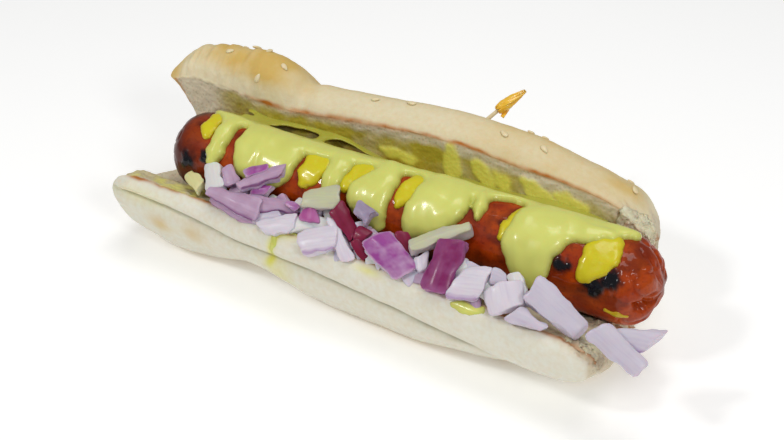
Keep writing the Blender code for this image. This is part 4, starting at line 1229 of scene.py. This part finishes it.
class HOTDOG_OT_pick(bpy.types.Operator):
    """Builds the wooden pick and its cellophane frill"""

    bl_idname = "hotdog.pick"
    bl_label = "Pick"

    def execute(self, context):
        look = context.scene.hot_dog_colours
        turn = PICK_WAY.to_track_quat("Z", "Y").to_matrix().to_4x4()
        work = bmesh.new()
        bmesh.ops.create_cone(work, cap_ends=True, segments=20, radius1=STICK_RADIUS,
                              radius2=0.8 * STICK_RADIUS, depth=STICK_SUNK + STICK_OUT)
        bmesh.ops.subdivide_edges(
            work, edges=[e for e in work.edges if e.calc_length() > 5.0], cuts=24, use_grid_fill=True)
        for vert in work.verts:
            taper = float(ease(vert.co.z + (STICK_SUNK + STICK_OUT) / 2, -0.5, 4.5))
            vert.co.x *= mix(0.2, 1.0, taper)
            vert.co.y *= mix(0.2, 1.0, taper)
        foot = Matrix.Translation(PICK_FOOT + PICK_WAY * (STICK_OUT - STICK_SUNK) / 2)
        bmesh.ops.transform(work, matrix=foot @ turn, verts=work.verts)
        wood = plain_finish("birch_pick", look.wood, "C9B586", 1.2, Roughness=0.6)
        shown("pick_wood", work, wood, ["pick_stick"])

        # Narrow leaves of film, twisted round the stick, and one strip that curls back.
        work = bmesh.new()
        draw = random.Random(3)
        for leaf in range(FRILL_LEAVES):
            strip = bmesh.new()
            bmesh.ops.create_grid(strip, x_segments=24, y_segments=6, size=0.5)
            around = math.tau * leaf / FRILL_LEAVES
            wide = draw.uniform(1.1, 1.5)
            for vert in strip.verts:
                t, side = vert.co.x + 0.5, vert.co.y * 2.0
                bulge = math.sin(math.pi * min(0.1 + 0.88 * t**0.8, 1.0)) ** 0.8
                reach = mix(0.55, 0.1, t) + 1.3 * bulge * (1.0 - 0.25 * side * side)
                angle = around + 1.6 * t + side * wide * bulge * 0.45
                middle = FRILL_START + FRILL_LENGTH * t
                crimp = 0.14 * bulge * math.sin(9.0 * t + 5.0 * side + leaf)
                aside = (reach + crimp) * Vector((math.cos(angle), math.sin(angle), 0.0))
                vert.co = PICK_FOOT + PICK_WAY * middle + FRILL_LEAN * t * t + turn.to_3x3() @ aside
            add_to(work, strip)
        strip = bmesh.new()
        bmesh.ops.create_grid(strip, x_segments=16, y_segments=4, size=0.5)
        for vert in strip.verts:
            t, side = vert.co.x + 0.5, vert.co.y * 2.0
            middle = PICK_FOOT + PICK_WAY * (FRILL_START + 3.6 - 4.4 * t) + CURL_WAY * (1.0 + 1.5 * t)
            wave = PICK_WAY.cross(CURL_WAY) * 0.35 * math.sin(5.0 * t + side)
            vert.co = middle + wave + CURL_WAY * side * mix(0.9, 0.6, t)
        add_to(work, strip)
        bmesh.ops.solidify(work, geom=work.faces[:], thickness=FILM_THICKNESS)
        bmesh.ops.recalc_face_normals(work, faces=work.faces)
        film = plain_finish("orange_cellophane", look.film, "FFD24A", 1.6, Roughness=0.22,
                            Coat_Weight=0.4, Subsurface_Weight=0.15, Subsurface_Scale=0.001)
        shown("pick_frill_film", work, film, ["pick_frill"])
        return {"FINISHED"}


class HOTDOG_OT_stage(bpy.types.Operator):
    """Adds the floor, the lamps and the camera"""

    bl_idname = "hotdog.stage"
    bl_label = "Stage"

    def execute(self, context):
        scene = context.scene
        scene.view_settings.view_transform = "Standard"
        work = bmesh.new()
        bmesh.ops.create_grid(work, x_segments=8, y_segments=8, size=2.0)
        mesh = bpy.data.meshes.new("floor")
        work.to_mesh(mesh)
        work.free()
        floor = bpy.data.objects.new("floor", mesh)
        scene.collection.objects.link(floor)
        mesh.materials.append(plain_finish(
            "matt_white_board", "F8F8F7", "F4F4F3", 200.0, Roughness=0.8,
            Emission_Color=(1.0, 1.0, 1.0, 1.0), Emission_Strength=0.2))

        target = (Vector((-0.15, -5.75, 31.0)) + SHIFT) * MM
        turn, tilt = math.radians(26.46), math.radians(35.0)
        back = Vector((math.sin(turn) * math.cos(tilt), -math.cos(turn) * math.cos(tilt), math.sin(tilt)))
        lens = bpy.data.cameras.new("camera")
        lens.lens, lens.sensor_width = 51.93, 36.0
        lens.clip_start, lens.clip_end = 0.01, 20.0
        camera = bpy.data.objects.new("camera", lens)
        camera.location = target + back * 0.33
        camera.rotation_euler = (-back).to_track_quat("-Z", "Y").to_euler()
        scene.collection.objects.link(camera)
        scene.camera = camera

        # A broad lamp overhead, a key from the front left and a weak fill from the right.
        for name, place, power, side in (
            ("overhead", (0.1, 0.05, 0.85), 2.6, 0.45),
            ("key", (-0.33, -0.5, 0.65), 1.8, 0.1),
            ("fill", (0.55, -0.4, 0.5), 1.5, 0.16),
        ):
            lamp = bpy.data.lights.new(name, "AREA")
            lamp.energy, lamp.size = power, side
            holder = bpy.data.objects.new(name, lamp)
            holder.location = place
            aim = target - Vector(place)
            holder.rotation_euler = aim.to_track_quat("-Z", "Y").to_euler()
            scene.collection.objects.link(holder)
        world = bpy.data.worlds.new("studio")
        world.use_nodes = True
        world.node_tree.nodes["Background"].inputs["Color"].default_value = (1.0, 1.0, 1.0, 1.0)
        world.node_tree.nodes["Background"].inputs["Strength"].default_value = 0.3
        scene.world = world
        return {"FINISHED"}


class HOTDOG_PT_panel(bpy.types.Panel):
    """Lists the pieces' operators and settings"""

    bl_label = "Hot dog"
    bl_space_type = "VIEW_3D"
    bl_region_type = "UI"
    bl_category = "Hot dog"

    def draw(self, context):
        for group in (context.scene.hot_dog_sizes, context.scene.hot_dog_colours):
            box = self.layout.box()
            for name in group.bl_rna.properties.keys():
                if name not in ("rna_type", "name"):
                    box.prop(group, name)
        for maker in OPERATORS:
            self.layout.operator(maker.bl_idname)


OPERATORS = (
    HOTDOG_OT_stage, HOTDOG_OT_bun, HOTDOG_OT_crumbs, HOTDOG_OT_seeds, HOTDOG_OT_sausage,
    HOTDOG_OT_sauce, HOTDOG_OT_mustard, HOTDOG_OT_onion, HOTDOG_OT_pick)
CLASSES = (HotDogSizes, HotDogColours, *OPERATORS, HOTDOG_PT_panel)


def register():
    for cls in CLASSES:
        bpy.utils.register_class(cls)
    bpy.types.Scene.hot_dog_sizes = bpy.props.PointerProperty(type=HotDogSizes)
    bpy.types.Scene.hot_dog_colours = bpy.props.PointerProperty(type=HotDogColours)


def unregister():
    del bpy.types.Scene.hot_dog_colours
    del bpy.types.Scene.hot_dog_sizes
    for cls in reversed(CLASSES):
        bpy.utils.unregister_class(cls)


def main():
    register()
    bpy.ops.hotdog.stage()
    bpy.ops.hotdog.bun()
    bpy.ops.hotdog.crumbs()
    bpy.ops.hotdog.seeds()
    bpy.ops.hotdog.sausage()
    bpy.ops.hotdog.sauce()
    bpy.ops.hotdog.mustard()
    bpy.ops.hotdog.onion()
    bpy.ops.hotdog.pick()


if __name__ == "__main__":
    main()
